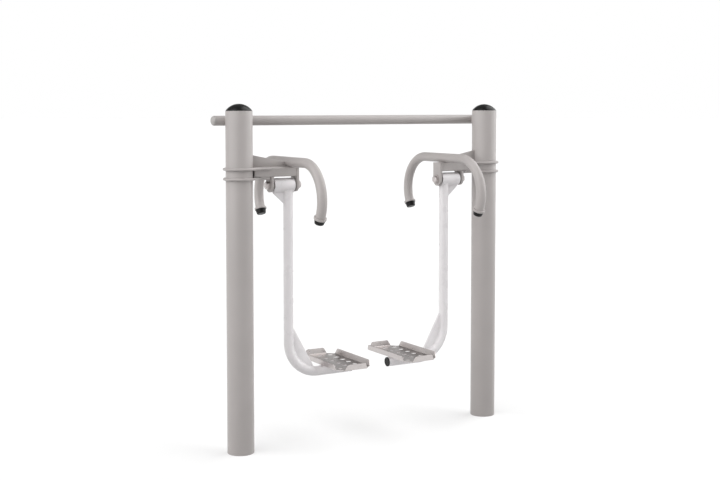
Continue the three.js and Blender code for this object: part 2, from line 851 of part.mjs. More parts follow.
// The swinging arm with its hub, bearings and footrest.
function addArm(side, label) {
  const arm = new THREE.Group();
  arm.position.x = side * postSpacing / 2;
  arm.rotation.z = side > 0 ? Math.PI : 0;
  const hub = alongX(pipe(hubRadius, hubBore, -hubLength / 2, hubLength / 2, hubFacets));
  add(arm, `${label}_hub`, hub, lightCoatLook, hingeOffset, 0, hingeHeight);
  const bearingSeat = hubLength / 2 - bearingInset - bearingWidth;
  const innerBearing = alongX(bearingGeometry());
  const outerBearing = alongX(bearingGeometry()).rotateZ(Math.PI);
  add(arm, `${label}_bearing_inner`, innerBearing, bearingLook, hingeOffset + bearingSeat, 0, hingeHeight);
  add(arm, `${label}_bearing_outer`, outerBearing, bearingLook, hingeOffset - bearingSeat, 0, hingeHeight);
  add(arm, `${label}_arm`, armGeometry(), lightCoatLook);
  add(arm, `${label}_arm_gusset`, armGussetGeometry(), lightCoatLook);
  add(arm, `${label}_arm_fin`, finGeometry(), lightCoatLook);
  add(arm, `${label}_arm_plug`, armPlugGeometry(), plasticLook, armRunEnd, 0, armRunHeight);
  add(arm, `${label}_pedal_bearer`, bearerGeometry(), lightCoatLook, pedalOffset, 0, bearerBottom);
  add(arm, `${label}_pedal`, pedalGeometry(), sheetLook, pedalOffset, 0, pedalBottom);
  walker.add(arm);
}

for (const [side, label] of [[-1, 'left'], [1, 'right']]) {
  addPost(side, label);
  addBracket(side, label);
  addPivot(side, label);
  addArm(side, label);
  const railEnd = side * (postSpacing / 2 + railOverhang);
  const railCap = add(walker, `${label}_rail_cap`, railCapGeometry(), capLook,
    railEnd, railOffset, railHeight);
  railCap.rotation.z = side > 0 ? 0 : Math.PI;
}
add(walker, 'top_rail', railGeometry(), greyCoatLook, 0, railOffset, railHeight);

export default walker;
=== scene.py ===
"""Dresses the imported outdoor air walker: smooth pieces, their finishes, and a plain studio stage.

Lengths are metres and angles radians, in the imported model's own frame.
"""

import json
import math

import bmesh
import bpy
from bmesh.types import BMEdge, BMVert
from bpy.props import FloatProperty, FloatVectorProperty, IntProperty, PointerProperty
from bpy.types import NodeSocket, Operator, Panel, PropertyGroup
from mathutils import Matrix, Vector


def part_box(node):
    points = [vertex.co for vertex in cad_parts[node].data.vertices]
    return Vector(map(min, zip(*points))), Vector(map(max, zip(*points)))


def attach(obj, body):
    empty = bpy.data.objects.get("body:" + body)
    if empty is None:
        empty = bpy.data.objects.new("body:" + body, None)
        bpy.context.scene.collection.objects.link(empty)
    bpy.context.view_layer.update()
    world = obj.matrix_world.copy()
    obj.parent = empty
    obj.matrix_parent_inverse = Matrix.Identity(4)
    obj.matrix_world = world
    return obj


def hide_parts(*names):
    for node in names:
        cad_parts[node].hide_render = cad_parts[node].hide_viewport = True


bl_info = {
    "name": "Outdoor air walker",
    "version": (1, 0, 0),
    "blender": (4, 5, 0),
    "location": "3D View > Sidebar > Air walker",
    "description": "Dresses the packed air walker with smooth pieces, finishes and a stage",
    "category": "Object",
}

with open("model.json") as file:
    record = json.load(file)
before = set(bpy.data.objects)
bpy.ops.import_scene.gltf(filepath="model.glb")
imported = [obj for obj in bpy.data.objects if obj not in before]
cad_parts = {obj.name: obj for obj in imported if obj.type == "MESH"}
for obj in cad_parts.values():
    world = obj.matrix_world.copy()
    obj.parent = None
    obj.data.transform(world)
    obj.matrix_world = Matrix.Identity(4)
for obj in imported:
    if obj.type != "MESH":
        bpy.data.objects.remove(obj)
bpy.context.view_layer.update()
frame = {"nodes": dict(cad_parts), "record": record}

LABELS = ("left", "right")
X, Y, Z = Vector((1, 0, 0)), Vector((0, 1, 0)), Vector((0, 0, 1))

# Neighbouring points nearer than this are one point.
MERGE = 1e-6

# Faces that meet at more than this are drawn with a crisp edge between them.
CRISP = math.radians(25)

# Facets of the round pieces, and steps of their bends and rounded corners.
POST_FACETS = 96
TUBE_FACETS = 48
SMALL_FACETS = 32
HOOP_FACETS = 20
HEX_SIDES = 6
BEND_STEPS = 28
ROUND_STEPS = 10
CORNER_STEPS = 6
SMALL_STEPS = 5

# How steeply a nut's corners are turned down, and the flat's share that the turned face keeps.
CHAMFER = math.radians(30)
CHAMFER_SHARE = 0.96

# The colour sockets of a Mix node: two inputs and the output.
MIX_FIRST, MIX_SECOND, MIX_RESULT = 6, 7, 2

# Turning a piece made about Z so that its top points along another axis.
TOWARDS_X = Matrix.Rotation(math.pi / 2, 4, "Y")
TOWARDS_Y = Matrix.Rotation(-math.pi / 2, 4, "X")


def number(name, description, default):
    return FloatProperty(name=name, description=description, default=default)


def length(name, description, default):
    return FloatProperty(name=name, description=description, default=default, unit="LENGTH")


def angle(name, description, degrees):
    return FloatProperty(
        name=name, description=description, default=math.radians(degrees), subtype="ANGLE")


def colour(name, description, default):
    return FloatVectorProperty(name=name, description=description, default=default, subtype="COLOR")


def count(name, description, default):
    return IntProperty(name=name, description=description, default=default)


class WalkerSizes(PropertyGroup):
    """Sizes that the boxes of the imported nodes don't give."""

    post_wall: length("Post wall", "Wall of the posts", 0.0036)
    tube_wall: length("Tube wall", "Wall of the handles and arms", 0.0029)
    beam_wall: length("Beam wall", "Wall of the bracket beams", 0.004)
    beam_corner: length("Beam corner", "Outer radius of a beam's corners", 0.006)
    hub_wall: length("Hub wall", "Wall of the hubs", 0.0063)
    handle_bend: length("Handle bend", "Centre line radius of the handle bends", 0.152)
    handle_tail: length("Handle tail", "Straight end of a handle", 0.0125)
    collar_length: length("Collar length", "Length of the collar round a handle's end", 0.01)
    collar_proud: length("Collar lip", "How far a collar stands past the handle's end", 0.001)
    handle_curl: angle("Handle curl", "How far past vertical the handle ends turn in", 24)
    arm_bend: length("Arm bend", "Centre line radius of the arm bend", 0.139)
    seam: length("Seam", "Gap left between pieces that touch", 0.0003)
    hoop_gap: length("Hoop clearance", "Gap between a hoop and its post", 0.0004)
    hoop_tuck: length("Hoop tuck", "How far the lower hoop's legs lie in from the beam's sides", 0.002)
    hoop_corner: length("Hoop corner", "Distance of the hoop's outer bends from the post's axis", 0.08)
    hoop_bend: length("Hoop bend", "Radius of the hoop's outer bends", 0.02)
    sheet: length("Footrest sheet", "Thickness of the footrest sheet", 0.003)
    fold: length("Fold radius", "Inner radius of the footrest's folds", 0.003)
    flange_lean: angle("Flange angle", "Angle between a flange and the flat of the footrest", 78)
    flange_taper: length("Flange taper", "How far each end of a flange slopes in", 0.012)
    flange_round: length("Flange rounding", "Radius of a flange's free corners", 0.006)
    corner_cut: length("Corner cut", "How much is cut off each corner of the footrest", 0.026)
    hole: length("Hole", "Diameter of the holes of the footrest", 0.025)
    hole_rows: count("Hole rows", "Rows of holes across the footrest", 3)
    holes_per_row: count("Holes per row", "Holes along each row", 6)
    row_pitch: length("Row pitch", "Distance between rows of holes", 0.052)
    hole_pitch: length("Hole pitch", "Distance between holes of a row", 0.056)
    edge: length("Edge rounding", "Width of the rounded edges of plates and tubes", 0.0008)
    weld: length("Weld bead", "Radius of a weld bead", 0.0032)


class WalkerFinishes(PropertyGroup):
    """Colours of the finishes, scene linear, by material slot."""

    grey_coat: colour(
        "Grey coat", "Powder coat of posts, bar, brackets and handles", (0.448, 0.418, 0.408))
    light_coat: colour("Light coat", "Powder coat of hubs and swinging arms", (0.83, 0.805, 0.815))
    sheet_steel: colour("Sheet steel", "Bare satin steel of the footrests", (0.57, 0.533, 0.523))
    fastener: colour("Zinc", "Plated bolts, nuts and washers", (0.58, 0.54, 0.53))
    bearing_steel: colour("Bearing steel", "Ground steel of the bearings", (0.66, 0.66, 0.65))
    black_plastic: colour(
        "Black plastic", "Caps of the posts and plugs of the tubes", (0.006, 0.006, 0.006))
    grey_plastic: colour("Grey plastic", "Caps of the joining bar", (0.42, 0.4, 0.39))


class WalkerStage(PropertyGroup):
    """Camera, floor and light."""

    camera_place: FloatVectorProperty(
        name="Camera place", description="Where the camera stands",
        subtype="TRANSLATION", unit="LENGTH", default=(-2.7121, -4.5531, 1.4647))
    camera_turn: angle("Camera turn", "How far the camera turns to the right of +Y", 30.353)
    camera_dip: angle("Camera dip", "How far the camera looks below level", 3.46)
    camera_lens: number("Lens", "Focal length on a 36 mm sensor, in millimetres", 59.479)
    camera_shift: number("Shift", "Vertical shift, as a share of the frame's width", -0.0844)
    floor: colour("Floor", "Colour of the floor", (0.5, 0.5, 0.5))
    floor_size: length("Floor size", "Radius of the round floor", 150.0)
    floor_glow: number("Floor glow", "White added to the floor where it is seen", 0.5)
    white_until: number("White until", "Sine of the height up to which the sky is white", 0.1)
    dim_from: number("Dim from", "Sine of the height from which the sky is dim", 0.32)
    overhead: colour("Overhead", "Colour of the sky overhead", (0.28, 0.28, 0.28))
    ambient: number("Ambient", "Share of the sky's white that lights the object", 0.5)
    right: number("Right lamp", "Level of the soft lamp at the right", 2.7)
    right_turn: angle("Right bearing", "Bearing of the right lamp from +X", -16)
    left: number("Left lamp", "Level of the soft lamp at the left", 2.5)
    left_turn: angle("Left bearing", "Bearing of the left lamp from +X", -174)
    lamp_spread: angle("Lamp spread", "Width of each lamp, as an angle", 80)
    lamp_height: angle("Lamp height", "Angle of each lamp above the floor", 36)


def sizes():
    return bpy.context.scene.walker_sizes


class Seat:
    """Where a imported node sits: the corners, middle, size and half size of its box."""

    def __init__(self, node, turn=Matrix.Identity(4)):
        ends = [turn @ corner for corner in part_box(node)]
        self.node = node
        self.lo = Vector(map(min, *ends))
        self.hi = Vector(map(max, *ends))
        self.middle = (self.lo + self.hi) / 2
        self.size = self.hi - self.lo
        self.half = self.size / 2


def to_walker(label):
    """Puts what is drawn about a post, with X towards the middle, in the walker's frame."""
    post_x = Seat(f"{label}_post").middle.x
    return Matrix.Translation((post_x, 0, 0)) @ Matrix.Rotation(math.pi if post_x > 0 else 0, 4, "Z")


def seat(label, piece):
    """A node's seat, seen from its post with X towards the middle."""
    return Seat(f"{label}_{piece}", to_walker(label).inverted())


def arm_of(label):
    """Where an arm's upright stands, how high its lower run lies, and its radius."""
    arm = seat(label, "arm")
    return arm.lo.x + arm.hi.y, arm.lo.z + arm.hi.y, arm.hi.y


def tube_radius():
    """Outer radius of the tube that the handles and arms are bent from."""
    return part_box("left_arm")[1].y


def polar(radius, turn):
    return radius * math.cos(turn), radius * math.sin(turn)


def facing(at, heading):
    """A place whose Z points along a heading."""
    return Matrix.Translation(at) @ heading.to_track_quat("Z", "Y").to_matrix().to_4x4()


def stem(radius, depth, top, rim):
    """Profile of a stem below the origin and of the underside of the head on it."""
    return [(0, -depth), (radius, -depth), (radius, top), (rim, top)]


def quarter_round(radius, rise, bottom, steps, inset=0):
    """Profile of a rounded rim, or of a dome where it starts at the axis."""
    turns = [step / steps * math.pi / 2 for step in range(steps + 1)]
    return [(inset + radius * math.cos(turn), bottom + rise * math.sin(turn)) for turn in turns]


def shallow_dome(radius, rise, bottom, steps):
    """Profile of a dome cut from a sphere, from its rim up to the axis."""
    sphere = (radius * radius + rise * rise) / (2 * rise)
    spread = math.asin(radius / sphere)
    turns = [spread * (1 - step / steps) for step in range(steps + 1)]
    return [(sphere * math.sin(turn), bottom + rise - sphere * (1 - math.cos(turn))) for turn in turns]


def points_of(made):
    return [item for item in made if isinstance(item, BMVert)]


def edges_of(made):
    return [item for item in made if isinstance(item, BMEdge)]


def turned(profile, facets, place, closed=False):
    """A turned piece: a profile of radius and height spun about Z and put in its place."""
    bm = bmesh.new()
    points = [bm.verts.new((radius, 0, height)) for radius, height in profile]
    pairs = list(zip(points, points[1:]))
    if closed:
        pairs.append((points[-1], points[0]))
    edges = [bm.edges.new(pair) for pair in pairs]
    bmesh.ops.spin(bm, geom=points + edges, cent=(0, 0, 0), axis=Z, dvec=(0, 0, 0),
                   angle=math.tau, steps=facets, use_merge=True)
    bmesh.ops.transform(bm, matrix=place, verts=bm.verts)
    return bm


def pipe(outer, inner, bottom, top, facets, place):
    """A round tube about Z, put in its place."""
    profile = [(inner, bottom), (outer, bottom), (outer, top), (inner, top)]
    return turned(profile, facets, place, closed=True)


def rectangle(width, depth):
    """A flat rectangle about the origin."""
    bm = bmesh.new()
    bmesh.ops.create_grid(bm, x_segments=1, y_segments=1, size=0.5)
    bmesh.ops.scale(bm, vec=(width, depth, 1), verts=bm.verts)
    return bm


def extrude(bm, depth):
    """Gives flat faces their thickness."""
    made = bmesh.ops.extrude_face_region(bm, geom=bm.faces[:])["geom"]
    bmesh.ops.translate(bm, verts=points_of(made), vec=depth)


def bevel(bm, geom, width, segments, affect="EDGES"):
    bmesh.ops.bevel(bm, geom=geom, offset=width, offset_type="OFFSET", segments=segments,
                    profile=0.5, affect=affect, clamp_overlap=True, material=-1)


def tidy(bm):
    bmesh.ops.remove_doubles(bm, verts=bm.verts, dist=MERGE)
    bmesh.ops.recalc_face_normals(bm, faces=bm.faces)


def soften(bm, width, segments=2):
    """Rounds the crisp edges."""
    tidy(bm)
    edges = [edge for edge in bm.edges
             if len(edge.link_faces) == 2 and edge.calc_face_angle() > CRISP]
    bevel(bm, edges, width, segments)
    return bm


class Bender:
    """Pushes rings through straight runs and bends, as a tube bender does."""

    def __init__(self, radii, start, heading, bend_axis, facets=TUBE_FACETS):
        self.bm = bmesh.new()
        self.at = Vector(start)
        self.heading = Vector(heading).normalized()
        self.bend_axis = bend_axis
        place = facing(self.at, self.heading)
        for radius in radii:
            bmesh.ops.create_circle(self.bm, radius=radius, segments=facets, matrix=place)
        self.hollow = len(radii) > 1
        self.first = self.bm.edges[:]
        self.last = self.first

    def advance(self, made):
        points = set(points_of(made))
        self.last = [edge for edge in edges_of(made) if all(point in points for point in edge.verts)]
        return list(points)

    def run(self, distance, steps=1):
        for _ in range(steps):
            made = bmesh.ops.extrude_edge_only(self.bm, edges=self.last)["geom"]
            points = self.advance(made)
            bmesh.ops.translate(self.bm, verts=points, vec=self.heading * distance / steps)
        self.at = self.at + self.heading * distance
        return self

    def bend(self, radius, sweep, steps=BEND_STEPS):
        """A positive sweep turns anticlockwise about the bend axis."""
        inward = self.bend_axis.cross(self.heading) * math.copysign(radius, sweep)
        centre = self.at + inward
        rings = list({point for edge in self.last for point in edge.verts}) + self.last
        made = bmesh.ops.spin(self.bm, geom=rings, cent=centre, axis=self.bend_axis,
                              dvec=(0, 0, 0), angle=sweep, steps=steps)["geom_last"]
        self.advance(made)
        turn = Matrix.Rotation(sweep, 3, self.bend_axis)
        self.at = centre - turn @ inward
        self.heading = turn @ self.heading
        return self

    def finish(self, edge):
        """Closes both ends and rounds their rims."""
        close_ring = bmesh.ops.bridge_loops if self.hollow else bmesh.ops.edgeloop_fill
        for rings in (self.first, self.last):
            close_ring(self.bm, edges=rings)
        return soften(self.bm, edge)


class Pen:
    """Draws the outlines of a plate: straight lines, and arcs spun from the last point."""

    def __init__(self, axis, point):
        self.bm = bmesh.new()
        self.axis = axis
        self.first = self.bm.verts.new(point)
        self.last = self.first

    def line(self, *points):
        for point in points:
            corner = self.bm.verts.new(point)
            self.bm.edges.new((self.last, corner))
            self.last = corner
        return self

    def arc(self, centre, sweep, steps):
        made = bmesh.ops.spin(self.bm, geom=[self.last], cent=centre, axis=self.axis,
                              dvec=(0, 0, 0), angle=sweep, steps=steps)["geom_last"]
        self.last = points_of(made)[0]
        return self

    def close(self):
        self.bm.edges.new((self.last, self.first))
        return self

    def circle(self, centre, radius):
        bmesh.ops.create_circle(self.bm, radius=radius, segments=SMALL_FACETS,
                                matrix=facing(centre, self.axis))
        return self

    def plate(self, depth):
        """Fills the outlines, gives the plate its thickness and rounds its edges."""
        bmesh.ops.triangle_fill(self.bm, use_beauty=True, use_dissolve=False, edges=self.bm.edges[:])
        extrude(self.bm, self.axis * depth)
        return soften(self.bm, sizes().edge)


def ring_at(bm, level, radius, facets=SMALL_FACETS):
    """The edges of a new ring about Z."""
    before = set(bm.edges)
    place = Matrix.Translation((0, 0, level)) @ Matrix.Rotation(math.pi / 2, 4, "Z")
    bmesh.ops.create_circle(bm, radius=radius, segments=facets, matrix=place)
    return [edge for edge in bm.edges if edge not in before]


def hex_prism(width, height, bore=0):
    """A bolt head about Z, its top turned down to a circle, or with a bore a nut, turned at both ends."""
    bm = bmesh.new()
    corner = width / math.sqrt(3)
    face = width / 2 * CHAMFER_SHARE
    chamfer = (corner - width / 2) * math.tan(CHAMFER)
    rings = [ring_at(bm, 0, face)] if bore else []
    rings.append(ring_at(bm, chamfer if bore else 0, corner, HEX_SIDES))
    rings.append(ring_at(bm, height - chamfer, corner, HEX_SIDES))
    rings.append(ring_at(bm, height, face))
    for lower, upper in zip(rings, rings[1:]):
        bmesh.ops.bridge_loops(bm, edges=lower + upper)
    for ring, level in ((rings[0], 0), (rings[-1], height)):
        if bore:
            bmesh.ops.bridge_loops(bm, edges=ring + ring_at(bm, level, bore))
        else:
            bmesh.ops.edgeloop_fill(bm, edges=ring)
    if bore:
        bmesh.ops.bridge_loops(bm, edges=[edge for edge in bm.edges if len(edge.link_faces) == 1])
    return soften(bm, sizes().seam, segments=1)


def joined(*parts):
    """Several closed shapes in one mesh."""
    whole = bmesh.new()
    for part in parts:
        scratch = bpy.data.meshes.new("scratch")
        part.to_mesh(scratch)
        part.free()
        whole.from_mesh(scratch)
        bpy.data.meshes.remove(scratch)
    return whole


def fill_in(tree, node, values):
    """Gives a node's inputs plain values, or links the outputs given for them."""
    for name, value in values.items():
        if isinstance(value, NodeSocket):
            tree.links.new(value, node.inputs[name])
        else:
            node.inputs[name].default_value = value
    return node


def shade(tone, share):
    return (*(part * share for part in tone), 1)


class FinishNodes:
    """Builds one procedural finish, node by node, on Object coordinates."""

    def __init__(self, name):
        self.material = bpy.data.materials.new(name)
        self.material.use_nodes = True
        self.tree = self.material.node_tree
        self.coordinates = self.tree.nodes.new("ShaderNodeTexCoord").outputs["Object"]

    def node(self, kind, output, values):
        return fill_in(self.tree, self.tree.nodes.new(kind), values).outputs[output]

    def noise(self, scale, detail, stretch=(1, 1, 1)):
        place = self.node("ShaderNodeMapping", "Vector", {"Scale": stretch, "Vector": self.coordinates})
        return self.node("ShaderNodeTexNoise", "Fac", {"Scale": scale, "Detail": detail, "Vector": place})

    def ranged(self, value, low=0, high=1, start=0.3, end=0.7):
        return self.node("ShaderNodeMapRange", "Result", {
            "Value": value, "From Min": start, "From Max": end, "To Min": low, "To Max": high})

    def added(self, first, second):
        return self.node("ShaderNodeMath", "Value", {0: first, 1: second})

    def tinted(self, factor, tone, darkest, lightest):
        """From the darkest to the lightest share of a colour, by a factor."""
        mix = self.tree.nodes.new("ShaderNodeMix")
        mix.data_type = "RGBA"
        fill_in(self.tree, mix, {
            "Factor": factor, MIX_FIRST: shade(tone, darkest), MIX_SECOND: shade(tone, lightest)})
        return mix.outputs[MIX_RESULT]

    def bump(self, height, strength, depth):
        return self.node("ShaderNodeBump", "Normal", {
            "Strength": strength, "Distance": depth, "Height": height})

    def finish(self, values):
        """The material, with the shader's inputs filled in."""
        fill_in(self.tree, self.tree.nodes["Principled BSDF"], values)
        return self.material


def powder_coat(name, tone, roughness):
    """Satin powder coat: orange peel, a fine grain and a slow drift of tone and gloss."""
    coat = FinishNodes(name)
    cloud = coat.noise(scale=7, detail=4)
    grain = coat.noise(scale=1400, detail=2)
    drift = coat.noise(scale=26, detail=3)
    peel = coat.noise(scale=420, detail=2)
    mottle = coat.added(coat.ranged(cloud, high=0.55), coat.ranged(grain, high=0.45))
    relief = coat.added(coat.ranged(peel), coat.ranged(grain, high=0.35))
    return coat.finish({
        "Base Color": coat.tinted(mottle, tone, darkest=0.955, lightest=1.045),
        "Roughness": coat.ranged(drift, low=roughness - 0.045, high=roughness + 0.045),
        "Specular IOR Level": 0.4,
        "Normal": coat.bump(relief, strength=0.16, depth=0.0004),
    })


def satin_sheet(name, tone):
    """Bare satin steel sheet: a grain along Y, soft smudges and scuffs where shoes rub."""
    steel = FinishNodes(name)
    grain = steel.noise(scale=1, detail=4, stretch=(900, 22, 900))
    smudge = steel.noise(scale=24, detail=4)
    scuff = steel.noise(scale=1, detail=3, stretch=(140, 420, 140))
    mottle = steel.added(steel.ranged(grain, high=0.5), steel.ranged(smudge, high=0.5))
    rubbed = steel.ranged(scuff, high=0.07)
    return steel.finish({
        "Base Color": steel.tinted(mottle, tone, darkest=0.9, lightest=1.06),
        "Roughness": steel.added(steel.ranged(smudge, low=0.22, high=0.34), rubbed),
        "Metallic": 1,
        "Normal": steel.bump(grain, strength=0.12, depth=0.0002),
    })


def zinc_plate(name, tone):
    """Bright zinc plate: faint mottling and the draw marks of the blank."""
    zinc = FinishNodes(name)
    mottle = zinc.noise(scale=160, detail=4)
    fine = zinc.noise(scale=1900, detail=2)
    return zinc.finish({
        "Base Color": zinc.tinted(zinc.ranged(mottle), tone, darkest=0.7, lightest=1.15),
        "Roughness": zinc.ranged(mottle, low=0.26, high=0.42),
        "Metallic": 1,
        "Normal": zinc.bump(fine, strength=0.1, depth=0.0002),
    })


def ground_steel(name, tone):
    """Ground bearing steel: fine rings left by the wheel."""
    steel = FinishNodes(name)
    rings = steel.noise(scale=1, detail=2, stretch=(60, 1500, 1500))
    return steel.finish({
        "Base Color": steel.tinted(steel.ranged(rings), tone, darkest=0.93, lightest=1.04),
        "Roughness": steel.ranged(rings, low=0.16, high=0.26),
        "Metallic": 1,
        "Normal": steel.bump(rings, strength=0.08, depth=0.0001),
    })


def moulded_plastic(name, tone, roughness, gloss):
    """Moulded plastic: a fine spark-eroded grain and slightly uneven gloss."""
    plastic = FinishNodes(name)
    grain = plastic.noise(scale=1100, detail=3)
    drift = plastic.noise(scale=45, detail=3)
    return plastic.finish({
        "Base Color": plastic.tinted(plastic.ranged(drift), tone, darkest=0.88, lightest=1.15),
        "Roughness": plastic.ranged(drift, low=roughness - 0.05, high=roughness + 0.06),
        "Specular IOR Level": gloss,
        "Normal": plastic.bump(grain, strength=0.18, depth=0.0003),
    })


# How the finish of each material slot is made. Its colour is in WalkerFinishes.
FINISH_MAKERS = {
    "grey_coat": (powder_coat, {"roughness": 0.32}),
    "light_coat": (powder_coat, {"roughness": 0.3}),
    "sheet_steel": (satin_sheet, {}),
    "fastener": (zinc_plate, {}),
    "bearing_steel": (ground_steel, {}),
    "black_plastic": (moulded_plastic, {"roughness": 0.3, "gloss": 0.22}),
    "grey_plastic": (moulded_plastic, {"roughness": 0.4, "gloss": 0.5}),
}
made_finishes = {}


def finish_of(slot):
    """The finish of a material slot, made when it is first asked for."""
    if slot not in made_finishes:
        maker, values = FINISH_MAKERS[slot]
        tone = getattr(bpy.context.scene.walker_finishes, slot)
        made_finishes[slot] = maker(slot, tone, **values)
    return made_finishes[slot]


def link_mesh(name, bm):
    """Turns a finished shape into an object of the scene."""
    mesh = bpy.data.meshes.new(name)
    bm.to_mesh(mesh)
    bm.free()
    piece = bpy.data.objects.new(name, mesh)
    bpy.context.scene.collection.objects.link(piece)
    return piece


def add(name, bm, body, slot, nodes=(), weighted=False):
    """Makes the finished piece, seats it on its body and hides the nodes that it stands for."""
    tidy(bm)
    piece = link_mesh(name, bm)
    piece.data.materials.append(finish_of(slot))
    piece.data.shade_smooth()
    piece.data.set_sharp_from_angle(angle=CRISP)
    if weighted:
        normals = piece.modifiers.new("Flat faces stay flat", "WEIGHTED_NORMAL")
        normals.keep_sharp = True
    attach(piece, body)
    if nodes:
        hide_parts(*nodes)


def stand_in(seat_of_node, suffix, bm, slot, body="frame", weighted=False):
    """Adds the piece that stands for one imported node."""
    node = seat_of_node.node
    add(f"{node}_{suffix}", bm, body, slot, [node], weighted)


def beside_post(label, bm, place=Matrix.Identity(4)):
    """Takes what is drawn about a post to its place in the walker."""
    bmesh.ops.transform(bm, matrix=to_walker(label) @ place, verts=bm.verts)
    return bm


def on_both_sides(*makers):
    """Makes the pieces of the left side, then those of the right."""
    for label in LABELS:
        for make in makers:
            make(label)
    return {"FINISHED"}


class WALKER_OT_posts(Operator):
    """Make both posts, round tubes cut square at the top"""

    bl_idname = "walker.posts"
    bl_label = "Posts"

    def execute(self, context):
        return on_both_sides(self.post)

    def post(self, label):
        post = Seat(f"{label}_post")
        outer = post.half.x
        place = Matrix.Translation((post.middle.x, 0, 0))
        bm = pipe(outer, outer - sizes().post_wall, post.lo.z, post.hi.z, POST_FACETS, place)
        stand_in(post, "tube", soften(bm, sizes().edge), "grey_coat")


class WALKER_OT_post_caps(Operator):
    """Make the domed caps of the posts, with their skirts"""

    bl_idname = "walker.post_caps"
    bl_label = "Post caps"

    rim: length("Rim", "Height of the cap's upright rim", 0.001)

    def execute(self, context):
        return on_both_sides(self.cap)

    def cap(self, label):
        seam = sizes().seam
        cap = Seat(f"{label}_post_cap")
        post = Seat(f"{label}_post")
        outer = cap.half.x
        skirt = post.half.x - sizes().post_wall - seam
        bottom = post.hi.z + seam
        rim_top = post.hi.z + self.rim
        profile = [
            *stem(skirt, -cap.lo.z, bottom, outer - seam),
            (outer, bottom + seam),
            *shallow_dome(outer, cap.hi.z - rim_top, rim_top, 3 * ROUND_STEPS),
        ]
        bm = turned(profile, POST_FACETS, Matrix.Translation((cap.middle.x, 0, 0)))
        stand_in(cap, "dome", bm, "black_plastic")


class WALKER_OT_joining_bar(Operator):
    """Make the bar that joins the posts, with a domed cap in each end"""

    bl_idname = "walker.joining_bar"
    bl_label = "Joining bar"

    wall: length("Wall", "Wall of the bar", 0.0026)
    rim: length("Cap rim", "Height of a cap's upright rim", 0.003)

    def execute(self, context):
        bar = Seat("top_rail")
        outer = bar.half.y
        place = Matrix.Translation(bar.middle) @ TOWARDS_X
        bm = pipe(outer, outer - self.wall, bar.lo.x, bar.hi.x, TUBE_FACETS, place)
        add("joining_bar", soften(bm, sizes().edge), "frame", "grey_coat", [bar.node])
        return on_both_sides(self.cap)

    def cap(self, label):
        bar = Seat("top_rail")
        cap = Seat(f"{label}_rail_cap")
        outer = bar.half.y
        reach = max(abs(cap.lo.x), abs(cap.hi.x)) - bar.hi.x
        gap = sizes().seam
        profile = [
            *stem(outer - self.wall - gap, cap.size.x - reach, gap, outer),
            *quarter_round(outer, reach - self.rim, self.rim, 2 * ROUND_STEPS),
        ]
        turn = Matrix.Rotation(math.pi if label == "left" else 0, 4, "Z")
        place = Matrix.Translation(bar.middle) @ turn @ Matrix.Translation((bar.hi.x, 0, 0)) @ TOWARDS_X
        stand_in(cap, "dome", turned(profile, TUBE_FACETS, place), "grey_plastic")


class WALKER_OT_bar_bolts(Operator):
    """Make the dome-headed bolts that hold the bar to the posts"""

    bl_idname = "walker.bar_bolts"
    bl_label = "Bar bolts"

    shank: length("Shank", "Diameter of the bolt", 0.012)
    head_height: length("Head height", "Height of the domed head", 0.006)
    rim: length("Head rim", "Height of the head's upright rim", 0.0015)

    def execute(self, context):
        return on_both_sides(self.bolt)

    def bolt(self, label):
        bolt = Seat(f"{label}_rail_bolt")
        head = bolt.half.x
        profile = [
            *stem(self.shank / 2, bolt.size.y - self.head_height, 0, head),
            *quarter_round(head, self.head_height - self.rim, self.rim, ROUND_STEPS),
        ]
        head_seat = (bolt.middle.x, bolt.hi.y - self.head_height, bolt.middle.z)
        bm = turned(profile, SMALL_FACETS, Matrix.Translation(head_seat) @ TOWARDS_Y)
        stand_in(bolt, "domed", bm, "fastener")


class WALKER_OT_brackets(Operator):
    """Make the bracket beams with their gusset plates and ears"""

    bl_idname = "walker.brackets"
    bl_label = "Brackets"

    ear_bore: number("Ear bore", "An ear's bore, as a share of the nut's width", 0.7)

    def execute(self, context):
        return on_both_sides(self.beam, self.gusset, self.ears)

    def beam(self, label):
        beam = seat(label, "beam")
        bm = rectangle(beam.size.z, beam.size.y)
        bevel(bm, bm.verts[:], sizes().beam_corner, CORNER_STEPS, "VERTICES")
        inner = bmesh.ops.inset_region(bm, faces=bm.faces[:], thickness=sizes().beam_wall,
                                       use_even_offset=True, use_boundary=True)["faces"]
        core = [face for face in bm.faces if face not in inner]
        bmesh.ops.delete(bm, geom=core, context="FACES_ONLY")
        extrude(bm, Z * beam.size.x)
        beside_post(label, bm, Matrix.Translation((beam.lo.x, 0, beam.middle.z)) @ TOWARDS_X)
        stand_in(beam, "tube", soften(bm, sizes().edge / 2), "grey_coat", weighted=True)

    def gusset(self, label):
        gusset = seat(label, "beam_gusset")
        lo, hi = gusset.lo, gusset.hi
        handle_axis = seat(label, "handle").hi.z - tube_radius()
        pen = Pen(Y, lo).line((hi.x, lo.y, lo.z), (hi.x, lo.y, handle_axis), (lo.x, lo.y, hi.z))
        bm = beside_post(label, pen.close().plate(gusset.size.y))
        stand_in(gusset, "plate", bm, "grey_coat")

    def ears(self, label):
        for piece in ("ear_outer", "ear_inner"):
            ear = seat(label, piece)
            x, radius, top = ear.lo.x, ear.hi.y, ear.hi.z
            hinge = Vector((x, 0, ear.lo.z + radius))
            pen = Pen(X, (x, radius, top)).line((x, -radius, top), (x, -radius, hinge.z))
            pen.arc(hinge, math.pi, 2 * ROUND_STEPS).close()
            pen.circle(hinge, seat(label, "pivot_nut").half.y * self.ear_bore)
            stand_in(ear, "plate", beside_post(label, pen.plate(ear.size.x)), "grey_coat")


